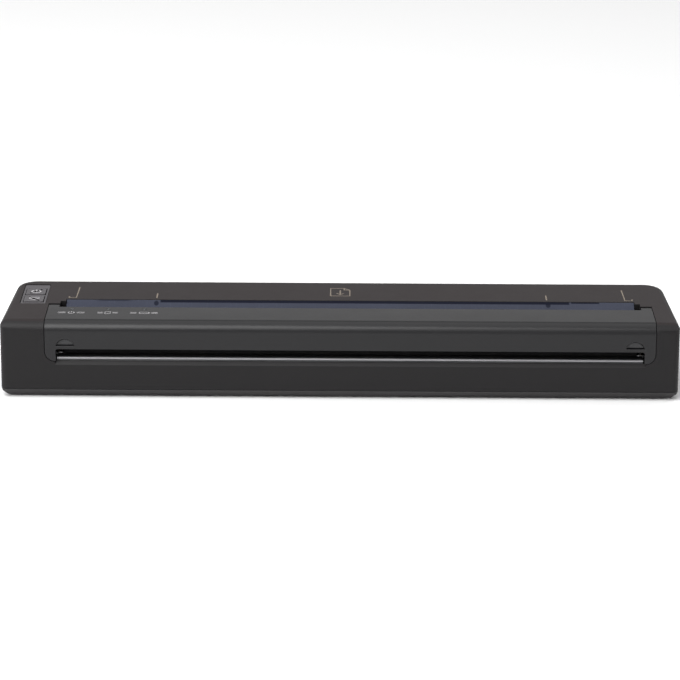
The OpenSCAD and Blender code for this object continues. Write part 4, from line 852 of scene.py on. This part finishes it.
class PRINTER_OT_deck_marks(FrameOperator):
    """Prints the marks of the two sheet widths and the page pictogram on the rear deck"""

    bl_idname = "printer.deck_marks"
    bl_label = "Deck marks"

    def execute(self, context):
        s = sizes()
        front = FRONT_Y + s.mark_front
        wide_rear = FRONT_Y + s.wide_mark_rear
        narrow_rear = FRONT_Y + s.narrow_mark_rear
        lean = 0.3 * MM
        foot = 2.8 * MM
        tick = 1.5 * MM

        def wide_mark(x, side):
            bend = x + side * lean
            end = bend + side * foot
            return [[(x, wide_rear), (bend, front), (end, front), (end, front + tick)]]

        strokes = {
            "wide_mark_left": wide_mark(-s.wide_mark_left, -1),
            "wide_mark_right": wide_mark(s.wide_mark_right, 1),
            "narrow_mark_left": [[(-s.narrow_mark_left, front), (-s.narrow_mark_left, narrow_rear)]],
            "narrow_mark_right": [[(s.narrow_mark_right, front), (s.narrow_mark_right, narrow_rear)]],
            "page_pictogram": self.page(0.0, FRONT_Y + 35.5 * MM, 7.4 * MM, 10.0 * MM),
        }
        for name, lines in strokes.items():
            self.ink(name, lines, s.ink_width, DECK_Z, "case", "mark_ink")
        return {"FINISHED"}

    @staticmethod
    def page(x, front, width, depth):
        """A sheet with a folded corner and an arrow that points down into the feed slot."""
        left, right, rear = x - width / 2, x + width / 2, front + depth
        fold = 2.2 * MM
        tip = front + 1.8 * MM
        barb, barb_y = 1.3 * MM, front + 3.4 * MM
        return [
            [(left, front), (left, rear), (right - fold, rear), (right, rear - fold), (right, front),
             (left, front)],
            [(right - fold, rear), (right - fold, rear - fold), (right, rear - fold)],
            [(x, rear - 2.6 * MM), (x, tip)],
            [(x - barb, barb_y), (x, tip), (x + barb, barb_y)],
        ]


class PRINTER_OT_indicators(FrameOperator):
    """Models the domed indicator lenses and the pictogram in front of each"""

    bl_idname = "printer.indicators"
    bl_label = "Indicators"

    def execute(self, context):
        low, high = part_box("indicator_lenses")
        radius = (high.y - low.y) / 2
        lens_y = (low.y + high.y) / 2
        first = low.x + radius
        last = high.x - radius
        spots = [first, (first + last) / 2, last]
        lens_r = 0.7 * MM
        dome_step = 0.154
        deselect()
        bpy.ops.mesh.primitive_cylinder_add(vertices=40, radius=lens_r, depth=high.z - low.z,
                                            location=(first, lens_y, (low.z + high.z) / 2))
        lens = bpy.context.object
        settle(lens)
        edit(lens)
        choose_faces(lens, lambda p, n: n.z > 0.9)
        terraces([(dome_step, rise) for rise in (0.06, 0.04, 0.02)])
        choose_faces(lens, lambda p, n: n.z < -0.9)
        extrude((0, 0, 0.1 * MM))
        face_outwards(lens)
        lenses = joined(copies(lens, [(x - first, 0, 0) for x in spots[1:]]))
        finished(lenses, "indicator_lenses_domed", "lens_clear", "cover", self.finishes,
                 replaces=("indicator_lenses",))
        label_y = lens_y - 4.6 * MM
        for x, name in zip(spots, ("power", "paper", "battery")):
            drawing = getattr(self, name)(x, label_y)
            self.ink("light_label_" + name, drawing, 0.36 * MM, DECK_Z, "cover")
        return {"FINISHED"}

    @staticmethod
    def dashes(x, y, inner, outer):
        """Two short rules on either side of a pictogram."""
        return [[(x + side * inner, y + lift), (x + side * outer, y + lift)]
                for side in (-1, 1) for lift in (-0.55 * MM, 0.55 * MM)]

    def power(self, x, y):
        return [arc(x, y, 1.15 * MM, 125, 415, 16), [(x, y + 0.2 * MM), (x, y + 1.4 * MM)],
                *self.dashes(x, y, 2.1 * MM, 5.0 * MM)]

    def paper(self, x, y):
        return [outline(x, y, 1.0 * MM, 1.2 * MM),
                *self.dashes(x, y, 1.8 * MM, 3.8 * MM)]

    def battery(self, x, y):
        half_width = 1.7 * MM
        pole = x + half_width + 0.35 * MM
        return [outline(x, y, half_width, 0.9 * MM), [(pole, y - 0.4 * MM), (pole, y + 0.4 * MM)],
                *self.dashes(x, y, 2.8 * MM, 5.2 * MM)]


class PRINTER_OT_buttons(FrameOperator):
    """Models the button panel, the two keys with a dished top, and their pictograms"""

    bl_idname = "printer.buttons"
    bl_label = "Buttons"

    def execute(self, context):
        self.dress("button_panel", fine=0.12)
        for node, body in (("power_button", "power_key"), ("feed_button", "feed_key")):
            self.key(node, body)
        self.dress("button_board", "button_switches")
        return {"FINISHED"}

    def key(self, node, body):
        low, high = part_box(node)
        key = node_copy(node)
        edit(key)
        choose_faces(key, lambda p, n: n.z > 0.9 and p.z > high.z - 0.01 * MM)
        terraces(((0.45, -0.05), (1.0, -0.12)))
        soften_all(key, 0.14 * MM, 2)
        self.finish_piece(key, node + "_dished", node)
        x, y = (low.x + high.x) / 2, (low.y + high.y) / 2
        if node == "power_button":
            strokes = [arc(x, y, 1.7 * MM, 125, 415, 20), [(x, y + 0.3 * MM), (x, y + 2.1 * MM)]]
        else:
            strokes = [[(x - 2.0 * MM, y + 0.5 * MM), (x, y - 1.3 * MM), (x + 2.0 * MM, y + 0.5 * MM)],
                       [(x - 2.0 * MM, y + 1.7 * MM), (x + 2.0 * MM, y + 1.7 * MM)]]
        dished = 0.17 * MM
        self.ink(node + "_mark", strokes, 0.6 * MM, high.z - dished, body)


class PRINTER_OT_latch(FrameOperator):
    """Models the finger tabs, the latch rod, its hooks, coil spring and catch pins"""

    bl_idname = "printer.latch"
    bl_label = "Latch"

    def execute(self, context):
        self.dress("finger_tabs", name="finger_tabs_ridged", fine=0.12)
        self.dress("latch_rod", fine=0.2)
        self.dress("latch_hooks")
        self.dress("catch_pins", fine=0.2)
        low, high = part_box("latch_spring")
        centre = (low + high) / 2
        outer = (high.z - low.z) / 2
        wire = 0.5 * MM
        spring = coil("latch_spring_coil", centre, (1, 0, 0), outer - wire / 2, wire, 10, high.x - low.x)
        self.finish_piece(spring, "latch_spring_coil", "latch_spring", 60)
        return {"FINISHED"}


class PRINTER_OT_platen(FrameOperator):
    """Models the platen: ground rubber on a stepped steel shaft, in bronze bushes"""

    bl_idname = "printer.platen"
    bl_label = "Platen"

    def execute(self, context):
        self.dress("platen_shaft", fine=0.25)
        self.dress("platen_rubber", fine=0.3)
        self.dress("left_bearing", "right_bearing", fine=0.15)
        return {"FINISHED"}


class PRINTER_OT_gears(FrameOperator):
    """Models the three gears of the drive and the idler's shaft"""

    bl_idname = "printer.gears"
    bl_label = "Gears"

    def execute(self, context):
        self.dress("platen_gear", "idler_gear", "motor_pinion", fine=0.06)
        self.dress("idler_shaft")
        return {"FINISHED"}


class PRINTER_OT_motor(FrameOperator):
    """Models the motor's can and its two terminals"""

    bl_idname = "printer.motor"
    bl_label = "Motor"

    def execute(self, context):
        self.dress("motor", fine=0.3)
        low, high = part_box("motor")
        middle = (low + high) / 2
        tab = slab("motor_terminals", (high.x - 2.2 * MM, middle.y - 3.4 * MM, middle.z - 0.6 * MM),
                   (high.x + 0.9 * MM, middle.y - 3.1 * MM, middle.z + 0.6 * MM))
        edit(tab)
        choose_faces(tab, lambda p, n: n.x > 0.9)
        bpy.ops.mesh.inset(thickness=0.08 * MM)
        extrude((0.5 * MM, 0, 0))
        face_outwards(tab)
        tabs = joined(copies(tab, [(0, 6.5 * MM, 0)]))
        finished(tabs, "motor_terminals", "bright_steel", "case", self.finishes)
        return {"FINISHED"}


class PRINTER_OT_metal_frame(FrameOperator):
    """Models the steel side plates, the stay, hinge pins and screws"""

    bl_idname = "printer.metal_frame"
    bl_label = "Metal frame"

    def execute(self, context):
        self.dress("left_side_plate", "right_side_plate", "frame_stay", "cover_hinge_pins", "plate_screws",
                   "bottom_screws", "board_screws", "door_pins", fine=0.08)
        return {"FINISHED"}


class PRINTER_OT_thermal_head(FrameOperator):
    """Models the thermal head, its heat sink, bracket, connector and coil springs"""

    bl_idname = "printer.thermal_head"
    bl_label = "Thermal head"

    def execute(self, context):
        self.dress("head_bracket", "head_sink", "thermal_head", "head_connector", "head_pins", fine=0.06)
        self.springs()
        return {"FINISHED"}

    def springs(self):
        s = sizes()
        low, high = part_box("head_springs")
        radius = (high.y - low.y) / 2
        first = low.x + radius
        last = high.x - radius
        count = 4
        y = (low.y + high.y) / 2
        spring = coil("head_spring", (first, y, (low.z + high.z) / 2), (0, 0, 1),
                      radius - s.spring_wire / 2, s.spring_wire, s.spring_turns, high.z - low.z)
        pitch = (last - first) / (count - 1)
        springs = joined(copies(spring, [(pitch * step, 0, 0) for step in range(1, count)]))
        self.finish_piece(springs, "head_springs_coiled", "head_springs", 60)
        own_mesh(springs)


class PRINTER_OT_boards(FrameOperator):
    """Models the boards, their chips with legs, the radio module, the light board and the cover switch"""

    bl_idname = "printer.boards"
    bl_label = "Boards"

    def execute(self, context):
        self.dress("main_board", "board_chips", "radio_module", "io_board", "led_board", "cover_switch",
                   fine=0.08)
        legs = []
        for low, high in solids("board_chips"):
            long, tall = high.x - low.x > 5 * MM, high.z - low.z > 2 * MM
            if long and not tall:
                legs += self.legs(low, high)
        finished(joined(legs), "chip_legs", "bright_steel", "case", self.finishes)
        return {"FINISHED"}

    @staticmethod
    def legs(low, high):
        """A row of bent legs along the rear side of a chip, and one along its front."""
        pitch = 0.8 * MM
        count = int((high.x - low.x) / pitch) - 1
        first = (low.x + high.x - (count - 1) * pitch) / 2
        top = low.z + 0.6 * MM
        thick = 0.14 * MM
        leg = slab("chip_leg", (first - 0.17 * MM, high.y - 0.3 * MM, top - thick),
                   (first + 0.17 * MM, high.y + 0.15 * MM, top))
        edit(leg)
        choose_faces(leg, lambda p, n: n.y > 0.9)
        extrude((0, 0.12 * MM, low.z + thick - top))
        extrude((0, 0.35 * MM, 0))
        face_outwards(leg)
        row(leg, count, (pitch, 0, 0))
        rear, front = copies(leg, [(0, 0, 0)])
        centre = (low + high) / 2
        half_turn = Matrix.Rotation(math.pi, 4, "Z")
        front.data.transform(Matrix.Translation(centre) @ half_turn @ Matrix.Translation(-centre))
        return [rear, front]


class PRINTER_OT_ports(FrameOperator):
    """Models the sockets with their tongue and pin, and the rubber port cover on the left end"""

    bl_idname = "printer.ports"
    bl_label = "Ports"

    def execute(self, context):
        self.dress("data_port", "power_inlet", fine=0.12)
        self.dress("port_cover", fine=0.15)
        self.tongue()
        low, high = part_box("power_inlet")
        pin = rod("power_inlet_pin", low.x + 1.4 * MM, high.x - 1.6 * MM, (low.y + high.y) / 2,
                  low.z + 1.9 * MM, 0.55 * MM)
        soften_all(pin, 0.2 * MM, 3)
        finished(pin, "power_inlet_pin", "bright_steel", "case", self.finishes)
        return {"FINISHED"}

    def tongue(self):
        """The data port's tongue, with a row of contacts on each side."""
        low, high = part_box("data_port")
        middle = (low + high) / 2
        half = 0.35 * MM
        tongue = slab("data_port_tongue", (low.x + 1.2 * MM, low.y + 1.7 * MM, middle.z - half),
                      (high.x - 0.5 * MM, high.y - 1.7 * MM, middle.z + half))
        soften_all(tongue, 0.12 * MM, 2)
        finished(tongue, "data_port_tongue", "chip_black", "case", self.finishes)
        pitch = 0.5 * MM
        count = 8
        first = middle.y - (count - 1) / 2 * pitch
        face_z = middle.z + half
        contact = slab("data_port_contacts", (low.x + 1.8 * MM, first - 0.13 * MM, face_z - 0.02 * MM),
                       (high.x - 1.2 * MM, first + 0.13 * MM, face_z + 0.03 * MM))
        edit(contact)
        choose_faces(contact, lambda p, n: n.z > 0.9)
        bpy.ops.mesh.inset(thickness=0.04 * MM)
        extrude((0, 0, 0.02 * MM))
        face_outwards(contact)
        row(contact, count, (0, pitch, 0))
        finished(contact, "data_port_contacts", "brass_gear", "case", self.finishes)


class PRINTER_OT_battery(FrameOperator):
    """Models the battery pack, its contacts, its door and the door's thumb catch"""

    bl_idname = "printer.battery"
    bl_label = "Battery"

    def execute(self, context):
        self.dress("battery_pack", fine=0.3)
        self.dress("battery_contacts")
        self.dress("battery_door", fine=0.2)
        self.dress("door_catch", fine=0.12)
        return {"FINISHED"}


class PRINTER_OT_feet(FrameOperator):
    """Models the rubber feet: a domed rim and a ring groove, copied to the four corners"""

    bl_idname = "printer.feet"
    bl_label = "Feet"

    def execute(self, context):
        low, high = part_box("rubber_feet")
        radius = 4.0 * MM
        x, y = high.x - radius, high.y - radius
        deselect()
        bpy.ops.mesh.primitive_cylinder_add(vertices=48, radius=radius, depth=high.z - low.z,
                                            location=(-x, -y, (low.z + high.z) / 2))
        foot = bpy.context.object
        settle(foot)
        edit(foot)
        choose_faces(foot, lambda p, n: n.z < -0.9)
        bpy.ops.mesh.inset(thickness=1.1 * MM)
        terraces(((0.5, 0.25), (0.4, -0.2)))
        soften_all(foot, 0.16 * MM, 2, 30)
        feet = joined(copies(foot, [(2 * x, 0, 0), (0, 2 * y, 0), (2 * x, 2 * y, 0)]))
        self.finish_piece(feet, "rubber_feet_ringed", "rubber_feet")
        return {"FINISHED"}


class PRINTER_OT_stage(FrameOperator):
    """Sets the pale floor, the soft studio lights and the camera"""

    bl_idname = "printer.stage"
    bl_label = "Studio"

    def execute(self, context):
        self.floor()
        self.world()
        self.light("front_top_key", (-0.5, -0.75, 1.1), (1.3, 0.9), 21)
        self.light("overhead_fill", (0, 0.3, 1.6), (2.4, 1.6), 14)
        self.light("left_fill", (-1.5, -0.6, 0.7), (0.9, 0.9), 5)
        self.camera()
        return {"FINISHED"}

    def floor(self):
        deselect()
        bpy.ops.mesh.primitive_plane_add(size=9.0)
        ground = bpy.context.object
        edit(ground)
        bpy.ops.mesh.select_all(action="SELECT")
        bpy.ops.mesh.subdivide(number_cuts=3)
        bpy.ops.object.mode_set(mode="OBJECT")
        ground.name = "studio_floor"
        ground.data.materials.append(floor_paper().material)

    def world(self):
        world = bpy.data.worlds.new("studio_air")
        world.use_nodes = True
        graph = Graph(world.node_tree)
        heading = graph.node("ShaderNodeTexCoord", output="Generated")
        height = graph.node("ShaderNodeSeparateXYZ", inputs={0: heading}, output="Z")
        background = world.node_tree.nodes["Background"]
        background.inputs["Color"].default_value = (1, 1, 1, 1)
        graph.put(background.inputs["Strength"], 0.62 - 0.32 * height.above(0.5, 0.2))
        bpy.context.scene.world = world
        bpy.context.scene.view_settings.view_transform = "Standard"

    def light(self, name, place, size, power):
        lamp = bpy.data.lights.new(name, "AREA")
        lamp.shape = "RECTANGLE"
        lamp.size, lamp.size_y = size
        lamp.energy = power
        holder = bpy.data.objects.new(name, lamp)
        holder.location = place
        holder.rotation_euler = (Vector((0, 0, 0.015)) - Vector(place)).to_track_quat("-Z", "Y").to_euler()
        bpy.context.scene.collection.objects.link(holder)

    def camera(self):
        """Stands where the photograph was taken: low in front, far off, a touch turned."""
        elevation = math.radians(17.7)
        lean = math.radians(0.34)
        distance = 1.226
        target = Vector((0, 0, 0.0148))
        view = bpy.data.cameras.new("photo_camera")
        view.sensor_width = 36
        view.lens = 169.4
        view.clip_end = 20
        holder = bpy.data.objects.new("photo_camera", view)
        back = Vector((0, -math.cos(elevation), math.sin(elevation)))
        holder.location = target + back * distance
        roll = Matrix.Rotation(lean, 4, "Z")
        holder.matrix_world = (Matrix.Translation(holder.location)
                               @ (-back).to_track_quat("-Z", "Y").to_matrix().to_4x4() @ roll)
        bpy.context.scene.collection.objects.link(holder)
        bpy.context.scene.camera = holder


class PRINTER_PT_panel(bpy.types.Panel):
    """Lists the steps that dress the printer"""

    bl_label = "Portable Page Printer"
    bl_idname = "PRINTER_PT_panel"
    bl_space_type = "VIEW_3D"
    bl_region_type = "UI"
    bl_category = "Printer"

    def draw(self, context):
        for step in STEPS:
            self.layout.operator(step.bl_idname)
        for group in (sizes(), colours()):
            box = self.layout.box()
            for name in group.__annotations__:
                box.prop(group, name)


STEPS = (
    PRINTER_OT_stage,
    PRINTER_OT_finishes,
    PRINTER_OT_case,
    PRINTER_OT_release_cover,
    PRINTER_OT_paper_path,
    PRINTER_OT_deck_marks,
    PRINTER_OT_indicators,
    PRINTER_OT_buttons,
    PRINTER_OT_latch,
    PRINTER_OT_platen,
    PRINTER_OT_gears,
    PRINTER_OT_motor,
    PRINTER_OT_metal_frame,
    PRINTER_OT_thermal_head,
    PRINTER_OT_boards,
    PRINTER_OT_ports,
    PRINTER_OT_battery,
    PRINTER_OT_feet,
)
CLASSES = (PrinterSizes, PrinterColours, *STEPS, PRINTER_PT_panel)


def register():
    for kind in CLASSES:
        bpy.utils.register_class(kind)
    bpy.types.Scene.printer_sizes = PointerProperty(type=PrinterSizes)
    bpy.types.Scene.printer_colours = PointerProperty(type=PrinterColours)


def unregister():
    del bpy.types.Scene.printer_colours
    del bpy.types.Scene.printer_sizes
    for kind in reversed(CLASSES):
        bpy.utils.unregister_class(kind)


def main():
    register()
    for step in STEPS:
        group, name = step.bl_idname.split(".")
        getattr(getattr(bpy.ops, group), name)()
    deselect()


if __name__ == "__main__":
    main()
